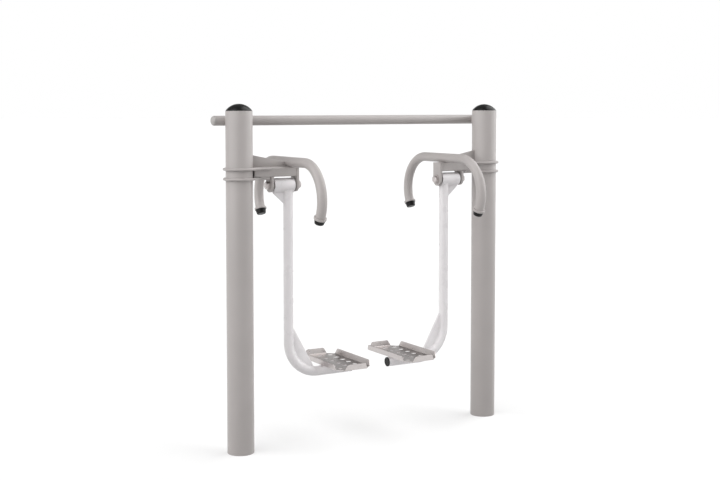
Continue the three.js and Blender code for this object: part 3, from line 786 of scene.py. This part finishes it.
class WALKER_OT_hoops(Operator):
    """Bend the round bars that clasp the posts"""

    bl_idname = "walker.hoops"
    bl_label = "Hoops"

    end_edge: length("End edge", "Width of the rounded edges of a hoop's ends", 0.001)

    def execute(self, context):
        return on_both_sides(self.lower, self.upper)

    def lower(self, label):
        self.hoop(label, seat(label, "hoop_lower"), -sizes().hoop_tuck, -1)

    def upper(self, label):
        self.hoop(label, seat(label, "hoop_upper"), sizes().seam, 1)

    def hoop(self, label, hoop, past_beam, outward):
        bar = hoop.half.z
        corner = sizes().hoop_corner
        bend = sizes().hoop_bend
        ring = seat(label, "post").hi.x + sizes().hoop_gap + bar
        leg_side = seat(label, "beam").hi.y + past_beam + outward * bar
        reach = math.hypot(corner, leg_side)
        lean = math.asin(ring / reach) - math.atan2(leg_side, corner)
        setback = bend * math.tan(lean / 2)
        leg = hoop.hi.x - corner - setback
        slope = math.sqrt(reach * reach - ring * ring) - setback
        bender = Bender([bar], (hoop.hi.x, leg_side, hoop.middle.z), -X, Z, HOOP_FACETS)
        bender.run(leg).bend(bend, -lean, SMALL_STEPS).run(slope)
        bender.bend(ring, math.pi + 2 * lean, 2 * BEND_STEPS)
        bender.run(slope).bend(bend, -lean, SMALL_STEPS).run(leg)
        stand_in(hoop, "bar", beside_post(label, bender.finish(self.end_edge)), "grey_coat")


class WALKER_OT_handles(Operator):
    """Bend both handles and close their ends with collars and plugs"""

    bl_idname = "walker.handles"
    bl_label = "Handles"

    plug_length: length("Plug length", "How far a plug stands out", 0.022)
    plug_width: length("Plug width", "Diameter of a plug's rim", 0.048)
    plug_rim: length("Plug rim", "Height of a plug's upright rim", 0.002)
    plug_tip: length("Plug tip", "Diameter of a plug's tip", 0.041)
    plug_round: length("Plug rounding", "Radius round a plug's tip", 0.004)
    plug_insert: length("Plug insert", "How deep a plug sits in the tube", 0.014)
    collar_round: length("Collar rounding", "Radius of a collar's edges", 0.0014)

    def execute(self, context):
        return on_both_sides(self.handle)

    def handle(self, label):
        handle = seat(label, "handle")
        bender = self.tube(handle)
        far_end = facing(bender.at, bender.heading)
        near_end = Matrix.Rotation(math.pi, 4, "Z") @ far_end
        near_end.translation.x = bender.at.x
        tube = bender.finish(sizes().edge)
        whole = joined(tube, self.collar(handle, far_end), self.collar(handle, near_end))
        stand_in(handle, "tube", beside_post(label, whole), "grey_coat")
        for place in (far_end, near_end):
            self.plug(label, to_walker(label) @ place)

    def tube(self, handle):
        outer = tube_radius()
        bend = sizes().handle_bend
        curl = sizes().handle_curl
        tail = sizes().handle_tail
        turn = math.pi / 2 + curl
        half_top = handle.hi.y - outer - bend
        end_y = half_top + bend * math.cos(curl) - tail * math.sin(curl)
        end_z = handle.hi.z - outer - bend - bend * math.sin(curl) - tail * math.cos(curl)
        start = (handle.middle.x, -end_y, end_z)
        bender = Bender([outer, outer - sizes().tube_wall], start, (0, *polar(1, turn)), X)
        return bender.run(tail).bend(bend, -turn).run(2 * half_top, 4).bend(bend, -turn).run(tail)

    def collar(self, handle, place):
        bore = tube_radius() - sizes().tube_wall / 2
        top = sizes().collar_proud
        bm = pipe(handle.half.x, bore, top - sizes().collar_length, top, TUBE_FACETS, place)
        return soften(bm, self.collar_round, segments=4)

    def plug(self, label, place):
        where = "front" if place.translation.y < 0 else "back"
        ease = sizes().seam
        bore = tube_radius() - sizes().tube_wall - ease
        rim = self.plug_width / 2
        bottom = sizes().collar_proud + ease
        rim_top = bottom + self.plug_rim
        tip = self.plug_tip / 2 - self.plug_round
        shoulder = self.plug_length - self.plug_round
        profile = [
            *stem(bore, self.plug_insert, bottom, rim - ease),
            (rim, bottom + ease),
            (rim, rim_top - ease),
            (rim - ease, rim_top),
            *quarter_round(self.plug_round, self.plug_round, shoulder, ROUND_STEPS, tip),
            (0, self.plug_length),
        ]
        plug = Seat(f"{label}_handle_plug_{where}")
        stand_in(plug, "black", turned(profile, TUBE_FACETS, place), "black_plastic")


class WALKER_OT_pivots(Operator):
    """Make the pivot bolts with their washers and nuts"""

    bl_idname = "walker.pivots"
    bl_label = "Pivots"

    shank: length("Shank", "Diameter of the bolt", 0.02)
    thread_pitch: length("Thread pitch", "Pitch of the thread at the bolt's end", 0.0025)
    thread_depth: length("Thread depth", "Depth of the thread", 0.0011)
    shank_root: length("Shank root", "How far the shank reaches into the head", 0.002)

    def execute(self, context):
        return on_both_sides(self.bolt, self.nut, self.washers)

    def bolt(self, label):
        bolt = Seat(f"{label}_pivot_bolt")
        head_seat = Seat(f"{label}_washer_head").lo.x - sizes().seam
        place = Matrix.Translation((head_seat, bolt.middle.y, bolt.middle.z)) @ TOWARDS_X
        head = hex_prism(bolt.size.y, head_seat - bolt.lo.x)
        flip = Matrix.Rotation(math.pi, 4, "Y")
        bmesh.ops.transform(head, matrix=place @ flip, verts=head.verts)
        radius = self.shank / 2
        root = radius - self.thread_depth
        reach = bolt.hi.x - head_seat
        height = Seat(f"{label}_pivot_nut").lo.x - head_seat
        profile = [(0, -self.shank_root), (radius, -self.shank_root), (radius, height)]
        while height + self.thread_pitch < reach:
            profile.append((root, height + self.thread_pitch / 2))
            profile.append((radius, height + self.thread_pitch))
            height += self.thread_pitch
        profile += [(root, reach), (0, reach)]
        shank = turned(profile, SMALL_FACETS, place)
        bmesh.ops.recalc_face_normals(shank, faces=shank.faces)
        stand_in(bolt, "hex", joined(head, shank), "fastener")

    def nut(self, label):
        nut = Seat(f"{label}_pivot_nut")
        bm = hex_prism(nut.size.y, nut.size.x, self.shank / 2 + sizes().seam)
        place = Matrix.Translation((nut.lo.x, nut.middle.y, nut.middle.z)) @ TOWARDS_X
        bmesh.ops.transform(bm, matrix=place, verts=bm.verts)
        stand_in(nut, "hex", bm, "fastener")

    def washers(self, label):
        bore = self.shank / 2 + sizes().seam
        for piece in ("washer_head", "washer_nut"):
            washer = Seat(f"{label}_{piece}")
            place = Matrix.Translation(washer.middle) @ TOWARDS_X
            half = washer.half
            bm = pipe(half.y, bore, -half.x, half.x, SMALL_FACETS, place)
            stand_in(washer, "disc", soften(bm, sizes().edge / 2), "fastener")


class WALKER_OT_hubs(Operator):
    """Make the hubs and the bearings in their ends"""

    bl_idname = "walker.hubs"
    bl_label = "Hubs"

    rounding: length("Hub rounding", "Width of the rounded rims of a hub", 0.0012)
    sunk: length("Bearing depth", "How deep a bearing's face lies in the hub", 0.0015)
    ring_bore: length("Ring bore", "Radius of the inner ring's bore", 0.0103)
    neck: length("Neck", "Radius of the inner ring's neck", 0.0148)
    ring_wall: length("Outer ring", "Width of the outer ring's face", 0.0045)
    shield: length("Shield", "How deep the shield lies behind the outer ring's face", 0.001)

    def execute(self, context):
        return on_both_sides(self.tube, self.bearings)

    def tube(self, label):
        hub = Seat(f"{label}_hub")
        place = Matrix.Translation(hub.middle) @ TOWARDS_X
        bore = hub.half.y - sizes().hub_wall
        bm = pipe(hub.half.y, bore, -hub.half.x, hub.half.x, TUBE_FACETS, place)
        stand_in(hub, "tube", soften(bm, self.rounding, segments=3), "light_coat", f"{label}_swing")

    def bearings(self, label):
        hub = Seat(f"{label}_hub")
        face = hub.half.x - self.sunk
        outer = hub.half.y - sizes().hub_wall - sizes().seam
        for piece in ("bearing_inner", "bearing_outer"):
            bearing = Seat(f"{label}_{piece}")
            away = bearing.middle.x - hub.middle.x
            near = abs(away) - bearing.half.x
            far = abs(away) + bearing.half.x
            profile = [
                (self.ring_bore, near),
                (outer, near),
                (outer, face),
                (outer - self.ring_wall, face),
                (outer - self.ring_wall, face - self.shield),
                (self.neck, face - self.shield),
                (self.neck, far),
                (self.ring_bore, far),
            ]
            flip = Matrix.Rotation(math.pi if away < 0 else 0, 4, "Y")
            place = Matrix.Translation(hub.middle) @ TOWARDS_X @ flip
            bm = soften(turned(profile, TUBE_FACETS, place, closed=True), sizes().seam)
            stand_in(bearing, "rings", bm, "bearing_steel", f"{label}_swing")


class WALKER_OT_arms(Operator):
    """Bend the swinging arms and fit their gussets, fins and end plugs"""

    bl_idname = "walker.arms"
    bl_label = "Arms"

    weld_gap: length("Weld gap", "Gap under the hub that the weld fills", 0.0002)
    saddle: length("Saddle", "Length over which the arm's saddled end evens out", 0.02)
    gusset_toe: length("Gusset toe", "Height of the gusset's thin end", 0.004)
    fin_sweep: angle("Fin sweep", "How far round the bend the fin goes", 80)
    fin_land: length("Fin land", "Width of the fin's blunt ends", 0.003)
    plug_round: length("Plug rounding", "Radius of the plug's outer edge", 0.0015)
    plug_rim: length("Plug rim", "Width of the plug's raised rim", 0.005)
    plug_slope: length("Plug slope", "Width of the slope from the rim to the dish", 0.002)
    plug_dish: length("Plug dish", "Depth of the plug's dish", 0.001)

    def execute(self, context):
        return on_both_sides(self.tube, self.gusset, self.fin, self.plug)

    def tube(self, label):
        axis_x, run_height, outer = arm_of(label)
        arm = seat(label, "arm")
        hub = seat(label, "hub")
        top = hub.middle.z - hub.hi.y
        bend = sizes().arm_bend
        bender = Bender([outer, outer - sizes().tube_wall], (axis_x, 0, top), -Z, -Y)
        for point in bender.bm.verts:
            point.co.z = hub.middle.z - math.sqrt((hub.hi.y + self.weld_gap) ** 2 - point.co.y ** 2)
        bender.run(0)
        bender.at.z = top - self.saddle
        for point in {point for edge in bender.last for point in edge.verts}:
            point.co.z = bender.at.z
        bender.run(top - run_height - bend - self.saddle, 4).bend(bend, math.pi / 2)
        bm = bender.run(arm.hi.x - axis_x - bend, 2).finish(sizes().edge)
        stand_in(arm, "tube", beside_post(label, bm), "light_coat", f"{label}_swing")

    def gusset(self, label):
        gusset = seat(label, "arm_gusset")
        lo, hi = gusset.lo, gusset.hi
        hub = seat(label, "hub")
        top = hub.middle.z - hub.hi.y
        under_hub = top - self.weld_gap
        pen = Pen(Y, (lo.x, lo.y, top - self.gusset_toe))
        pen.line((hi.x, lo.y, lo.z), (hi.x, lo.y, under_hub), (lo.x, lo.y, under_hub)).close()
        bm = beside_post(label, pen.plate(gusset.size.y))
        stand_in(gusset, "plate", bm, "light_coat", f"{label}_swing")

    def fin(self, label):
        fin = seat(label, "arm_fin")
        y, top = fin.lo.y, fin.hi.z
        axis_x, run_height, outer = arm_of(label)
        bend = sizes().arm_bend
        centre = Vector((axis_x + bend, y, run_height + bend))
        end_x, end_z = polar(bend - outer, math.pi + self.fin_sweep)
        tip_x, tip_z = polar(bend - outer - self.fin_land, math.pi + self.fin_sweep)
        pen = Pen(Y, (axis_x + outer + self.fin_land, y, top))
        pen.line(centre + Vector((tip_x, 0, tip_z)), centre + Vector((end_x, 0, end_z)))
        pen.arc(centre, self.fin_sweep, BEND_STEPS).line((axis_x + outer, y, top)).close()
        bm = beside_post(label, pen.plate(fin.size.y))
        stand_in(fin, "plate", bm, "light_coat", f"{label}_swing")

    def plug(self, label):
        plug = seat(label, "arm_plug")
        arm = seat(label, "arm")
        outer = arm.hi.y
        gap = sizes().seam
        face = plug.hi.x - arm.hi.x
        rounding = self.plug_round
        profile = [
            *stem(outer - sizes().tube_wall - gap, arm.hi.x - plug.lo.x, gap, outer),
            *quarter_round(rounding, rounding, face - rounding, SMALL_STEPS, outer - rounding),
            (outer - self.plug_rim, face),
            (outer - self.plug_rim - self.plug_slope, face - self.plug_dish),
            (0, face - self.plug_dish),
        ]
        place = Matrix.Translation((arm.hi.x, 0, plug.middle.z)) @ TOWARDS_X
        bm = turned(profile, TUBE_FACETS, to_walker(label) @ place)
        stand_in(plug, "black", bm, "black_plastic", f"{label}_swing")


class WALKER_OT_footrests(Operator):
    """Cut, punch and fold the footrests and make the bars under them"""

    bl_idname = "walker.footrests"
    bl_label = "Footrests"

    bar_corner: length("Bar corner", "Radius of the corners of the bar under a footrest", 0.008)

    def execute(self, context):
        return on_both_sides(self.tray, self.bearer)

    def tray(self, label):
        size = sizes()
        tray = seat(label, "pedal")
        outer_fold = size.fold + size.sheet
        lean = size.flange_lean
        blade = (tray.size.z - outer_fold * (1 - math.cos(lean))) / math.sin(lean)
        spread = outer_fold * math.sin(lean) + blade * math.cos(lean)
        bm = rectangle(tray.size.x - 2 * spread, tray.size.y - 2 * spread)
        bevel(bm, bm.verts[:], size.corner_cut, 1, "VERTICES")
        sides = [edge for edge in bm.edges if self.is_side(edge)]
        bmesh.ops.delete(bm, geom=bm.faces[:], context="FACES_ONLY")
        for row in range(size.hole_rows):
            for place in range(size.holes_per_row):
                across = (row - (size.hole_rows - 1) / 2) * size.row_pitch
                along = (place - (size.holes_per_row - 1) / 2) * size.hole_pitch
                bmesh.ops.create_circle(bm, radius=size.hole / 2, segments=SMALL_FACETS,
                                        matrix=Matrix.Translation((across, along, 0)))
        bmesh.ops.triangle_fill(bm, use_beauty=True, use_dissolve=False, edges=bm.edges[:], normal=Z)
        for side in sides:
            self.flange(bm, side, outer_fold, lean, blade)
        tidy(bm)
        flat = max(bm.faces, key=lambda face: face.calc_area())
        if flat.normal.z > 0:
            bmesh.ops.reverse_faces(bm, faces=bm.faces)
        bmesh.ops.solidify(bm, geom=bm.faces[:], thickness=size.sheet)
        beside_post(label, bm, Matrix.Translation((tray.middle.x, 0, tray.lo.z)))
        stand_in(tray, "tray", soften(bm, size.edge / 2), "sheet_steel", f"{label}_swing", True)

    @staticmethod
    def is_side(edge):
        along = edge.verts[1].co - edge.verts[0].co
        return min(abs(along.x), abs(along.y)) < MERGE

    @staticmethod
    def flange(bm, side, outer_fold, lean, blade):
        """Folds a flange up along one side, slopes its ends and rounds its free corners."""
        middle = (side.verts[0].co + side.verts[1].co) / 2
        outward = middle.normalized()
        along = Z.cross(outward)
        made = bmesh.ops.spin(bm, geom=[*side.verts, side], cent=middle + Z * outer_fold,
                              axis=along, dvec=(0, 0, 0), angle=-lean,
                              steps=ROUND_STEPS)["geom_last"]
        made = bmesh.ops.extrude_edge_only(bm, edges=edges_of(made)[:1])["geom"]
        top = points_of(made)
        push = outward * math.cos(lean) + Z * math.sin(lean)
        bmesh.ops.translate(bm, verts=top, vec=push * blade)
        for point in top:
            inward = -math.copysign(1, (point.co - middle).dot(along))
            point.co += along * inward * sizes().flange_taper
        bevel(bm, top, sizes().flange_round, SMALL_STEPS, "VERTICES")

    def bearer(self, label):
        bearer = seat(label, "pedal_bearer")
        bm = bmesh.new()
        bmesh.ops.create_cube(bm, size=1)
        bmesh.ops.scale(bm, vec=bearer.size, verts=bm.verts)
        uprights = [edge for edge in bm.edges
                    if abs(edge.verts[0].co.z - edge.verts[1].co.z) > MERGE]
        bevel(bm, uprights, self.bar_corner, CORNER_STEPS)
        beside_post(label, bm, Matrix.Translation(bearer.middle))
        stand_in(bearer, "bar", soften(bm, sizes().edge), "light_coat", f"{label}_swing", True)


def along_x(start, end, y, z):
    return [(start, y, z), (end, y, z)]


def along_y(x, start, end, z):
    return [(x, start, z), (x, end, z)]


def along_z(x, y, start, end):
    return [(x, y, start), (x, y, end)]


class WALKER_OT_welds(Operator):
    """Lay the weld beads of the brackets and arms"""

    bl_idname = "walker.welds"
    bl_label = "Welds"

    pitch: length("Ripple pitch", "Distance between the ripples of a bead", 0.0024)
    ripple: number("Ripple", "Thinnest part of a ripple, as a share of the bead", 0.84)
    seam_bead: length("Seam bead", "Size of the beads deep between handle and beam", 0.0016)
    seam_length: length("Seam length", "Length of the beads between handle and beam", 0.036)
    hoop_bead: length("Hoop bead", "Length of the beads that hold a hoop's legs", 0.04)
    lift: length("Lift", "How far a bead's middle stands off the arm", 0.0005)
    fin_sweep: angle("Fin sweep", "How far round the bend the fin's beads go", 78)
    flank: number("Flank", "How near the bar's beads lie to where arm and bar part", 0.9)
    stitch_pitch: length("Stitch pitch", "Distance between the beads of a footrest", 0.11)
    stitch: length("Stitch", "Half the length of a footrest's bead", 0.015)

    def execute(self, context):
        return on_both_sides(self.bracket, self.arm)

    def bracket(self, label):
        weld = sizes().weld
        beam = seat(label, "beam")
        plate = seat(label, "beam_gusset")
        ear = seat(label, "ear_outer")
        inner_x = seat(label, "ear_inner").lo.x
        hoop = seat(label, "hoop_upper")
        hoop_end = hoop.hi.x - weld
        hoop_start = hoop_end - self.hoop_bead
        half_seam = self.seam_length / 2
        beam_edge = beam.hi.y - weld
        runs = []
        for side in (-1, 1):
            beam_y = side * beam.hi.y
            seam_x = seat(label, "handle").middle.x + side * math.sqrt(2 * tube_radius() * self.seam_bead)
            runs += [
                along_x(plate.lo.x + weld, plate.hi.x, side * plate.hi.y, beam.hi.z),
                along_y(seam_x, -half_seam, half_seam, beam.hi.z + self.seam_bead / 2),
                along_y(ear.middle.x + side * ear.half.x, -beam_edge, beam_edge, beam.lo.z),
                along_z(inner_x, beam_y, beam.lo.z + weld, beam.hi.z - weld),
                along_x(hoop_start, hoop_end, beam_y, hoop.lo.z),
            ]
            for edge in (-1, 1):
                leg_y = beam.hi.y - sizes().hoop_tuck - hoop.half.z + edge * hoop.half.z
                runs.append(along_x(hoop_start, hoop_end, side * leg_y, beam.lo.z))
        runs.append(along_y(inner_x, -beam_edge, beam_edge, beam.lo.z))
        self.lay(f"{label}_bracket_welds", "frame", "grey_coat", label, runs)

    def arm(self, label):
        weld = sizes().weld
        axis_x, run_height, outer = arm_of(label)
        hub = seat(label, "hub")
        top = hub.middle.z - hub.hi.y
        bend = sizes().arm_bend
        plate = seat(label, "arm_gusset")
        bar = seat(label, "pedal_bearer")
        saddle = []
        for step in range(TUBE_FACETS + 1):
            across_x, across_y = polar(outer + self.lift, math.tau * step / TUBE_FACETS)
            rise = math.sqrt(hub.hi.y ** 2 - across_y ** 2)
            saddle.append((min(axis_x + across_x, hub.hi.x - self.lift), across_y,
                           hub.middle.z - rise - weld / 3))
        runs = [saddle]
        for side in (-1, 1):
            plate_y = side * plate.hi.y
            seam = [(axis_x + outer - self.lift, plate_y, seat(label, "arm_fin").hi.z - weld)]
            for step in range(BEND_STEPS + 1):
                turn = math.pi + self.fin_sweep * step / BEND_STEPS
                round_x, round_z = polar(bend - outer + self.lift, turn)
                seam.append((axis_x + bend + round_x, plate_y, run_height + bend + round_z))
            bar_y = side * math.sqrt(2 * outer * weld) * self.flank
            runs += [
                along_x(plate.lo.x + weld, plate.hi.x, plate_y, top),
                along_z(plate.hi.x, plate_y, plate.lo.z + weld, top - weld),
                seam,
                along_x(bar.lo.x + weld, bar.hi.x - weld, bar_y, bar.lo.z - weld / 2),
            ]
            edge_x = bar.middle.x + side * bar.half.x
            for middle in (-self.stitch_pitch, 0, self.stitch_pitch):
                runs.append(along_y(edge_x, middle - self.stitch, middle + self.stitch, bar.hi.z))
        self.lay(f"{label}_arm_welds", f"{label}_swing", "light_coat", label, runs)

    def lay(self, name, body, slot, label, runs):
        """Lays rippled beads along the runs and keeps them as one mesh."""
        curve = bpy.data.curves.new(name, "CURVE")
        curve.dimensions = "3D"
        curve.bevel_depth = sizes().weld
        curve.bevel_resolution = 1
        curve.use_fill_caps = True
        for run in runs:
            points = self.paced([Vector(point) for point in run])
            spline = curve.splines.new("POLY")
            spline.points.add(len(points) - 1)
            for place, (knot, point) in enumerate(zip(spline.points, points)):
                knot.co = (*(to_walker(label) @ point), 1)
                knot.radius = 1 if place % 2 else self.ripple
        rope = bpy.data.objects.new(name, curve)
        mesh = bpy.data.meshes.new_from_object(rope)
        bm = bmesh.new()
        bm.from_mesh(mesh)
        bpy.data.objects.remove(rope)
        bpy.data.curves.remove(curve)
        bpy.data.meshes.remove(mesh)
        add(name, bm, body, slot)

    def paced(self, points):
        """The points of a run, with more between them where they lie apart."""
        spaced = [points[0]]
        for start, end in zip(points, points[1:]):
            steps = max(1, round((end - start).length / self.pitch * 2))
            spaced += [start.lerp(end, step / steps) for step in range(1, steps + 1)]
        return spaced


class WALKER_OT_kept_nodes(Operator):
    """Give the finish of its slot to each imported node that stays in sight"""

    bl_idname = "walker.kept_nodes"
    bl_label = "Kept nodes"

    def execute(self, context):
        slots = {part["node"]: part["material_slot"] for part in frame["record"]["subparts"]}
        for piece in ("rail_saddle", "rail_nut", "spacer_sleeve"):
            for label in LABELS:
                node = f"{label}_{piece}"
                for slot in frame["nodes"][node].material_slots:
                    slot.material = finish_of(slots[node])
        return {"FINISHED"}


class WALKER_OT_stage(Operator):
    """Set the camera, floor, sky and lamps"""

    bl_idname = "walker.stage"
    bl_label = "Stage"

    def execute(self, context):
        stage = context.scene.walker_stage
        context.scene.view_settings.view_transform = "Standard"
        self.camera(context, stage)
        self.floor(stage)
        self.sky(context, stage)
        self.lamp(context, "right_lamp", stage.right, stage.right_turn)
        self.lamp(context, "left_lamp", stage.left, stage.left_turn)
        return {"FINISHED"}

    def camera(self, context, stage):
        camera = bpy.data.objects.new("camera", bpy.data.cameras.new("camera"))
        camera.data.sensor_width = 36
        camera.data.lens = stage.camera_lens
        camera.data.shift_y = stage.camera_shift
        camera.location = stage.camera_place
        camera.rotation_euler = (math.pi / 2 - stage.camera_dip, 0, -stage.camera_turn)
        context.scene.collection.objects.link(camera)
        context.scene.camera = camera

    def floor(self, stage):
        bm = bmesh.new()
        bmesh.ops.create_circle(bm, cap_ends=True, radius=stage.floor_size, segments=64)
        floor = link_mesh("floor", bm)
        paint = FinishNodes("floor")
        cloud = paint.ranged(paint.noise(scale=0.8, detail=2))
        floor.data.materials.append(paint.finish({
            "Base Color": paint.tinted(cloud, stage.floor, darkest=0.995, lightest=1.005),
            "Roughness": 0.9,
            "Specular IOR Level": 0.1,
            "Emission Color": (1, 1, 1, 1),
            "Emission Strength": self.by_ray(paint.tree, 0, stage.floor_glow),
        }))

    @staticmethod
    def by_ray(tree, lighting, seen_straight):
        """One level for rays that light the object, one for rays that the camera sees."""
        path = tree.nodes.new("ShaderNodeLightPath")
        seen = path.outputs["Is Camera Ray"]
        for ray in ("Is Glossy Ray", "Is Transmission Ray"):
            either = fill_in(tree, tree.nodes.new("ShaderNodeMath"), {0: seen, 1: path.outputs[ray]})
            either.operation = "MAXIMUM"
            seen = either.outputs["Value"]
        level = fill_in(tree, tree.nodes.new("ShaderNodeMapRange"), {
            "Value": seen, "To Min": lighting, "To Max": seen_straight})
        return level.outputs["Result"]

    def sky(self, context, stage):
        """White round the horizon and dim overhead."""
        world = bpy.data.worlds.new("sky")
        world.use_nodes = True
        tree = world.node_tree
        direction = tree.nodes.new("ShaderNodeTexCoord").outputs["Generated"]
        parts = fill_in(tree, tree.nodes.new("ShaderNodeSeparateXYZ"), {"Vector": direction})
        ramp = fill_in(tree, tree.nodes.new("ShaderNodeValToRGB"), {"Fac": parts.outputs["Z"]})
        white, dim = ramp.color_ramp.elements
        white.position = stage.white_until
        white.color = (1, 1, 1, 1)
        dim.position = stage.dim_from
        dim.color = (*stage.overhead, 1)
        fill_in(tree, tree.nodes["Background"], {
            "Color": ramp.outputs["Color"], "Strength": self.by_ray(tree, stage.ambient, 1)})
        context.scene.world = world

    def lamp(self, context, name, level, turn):
        """A soft lamp far away, whose turn is its bearing from +X."""
        stage = context.scene.walker_stage
        light = bpy.data.lights.new(name, "SUN")
        light.energy = level
        light.angle = stage.lamp_spread
        lamp = bpy.data.objects.new(name, light)
        lamp.rotation_euler = (math.pi / 2 - stage.lamp_height, 0, turn + math.pi / 2)
        context.scene.collection.objects.link(lamp)


OPERATORS = (
    WALKER_OT_posts,
    WALKER_OT_post_caps,
    WALKER_OT_joining_bar,
    WALKER_OT_bar_bolts,
    WALKER_OT_brackets,
    WALKER_OT_hoops,
    WALKER_OT_handles,
    WALKER_OT_pivots,
    WALKER_OT_hubs,
    WALKER_OT_arms,
    WALKER_OT_footrests,
    WALKER_OT_welds,
    WALKER_OT_kept_nodes,
    WALKER_OT_stage,
)


class WALKER_PT_panel(Panel):
    """Lists the pieces of the walker in the sidebar"""

    bl_idname = "WALKER_PT_panel"
    bl_label = "Air walker"
    bl_space_type = "VIEW_3D"
    bl_region_type = "UI"
    bl_category = "Air walker"

    def draw(self, context):
        for operator in OPERATORS:
            self.layout.operator(operator.bl_idname)
        for group in (context.scene.walker_sizes, context.scene.walker_finishes,
                      context.scene.walker_stage):
            box = self.layout.box()
            for name in group.__annotations__:
                box.prop(group, name)


GROUPS = (WalkerSizes, WalkerFinishes, WalkerStage)
CLASSES = (*GROUPS, *OPERATORS, WALKER_PT_panel)


def register():
    for kind in CLASSES:
        bpy.utils.register_class(kind)
    bpy.types.Scene.walker_sizes = PointerProperty(type=WalkerSizes)
    bpy.types.Scene.walker_finishes = PointerProperty(type=WalkerFinishes)
    bpy.types.Scene.walker_stage = PointerProperty(type=WalkerStage)


def unregister():
    del bpy.types.Scene.walker_stage
    del bpy.types.Scene.walker_finishes
    del bpy.types.Scene.walker_sizes
    for kind in reversed(CLASSES):
        bpy.utils.unregister_class(kind)


def main():
    register()
    for operator in OPERATORS:
        group, name = operator.bl_idname.split(".")
        getattr(getattr(bpy.ops, group), name)()


if __name__ == "__main__":
    main()
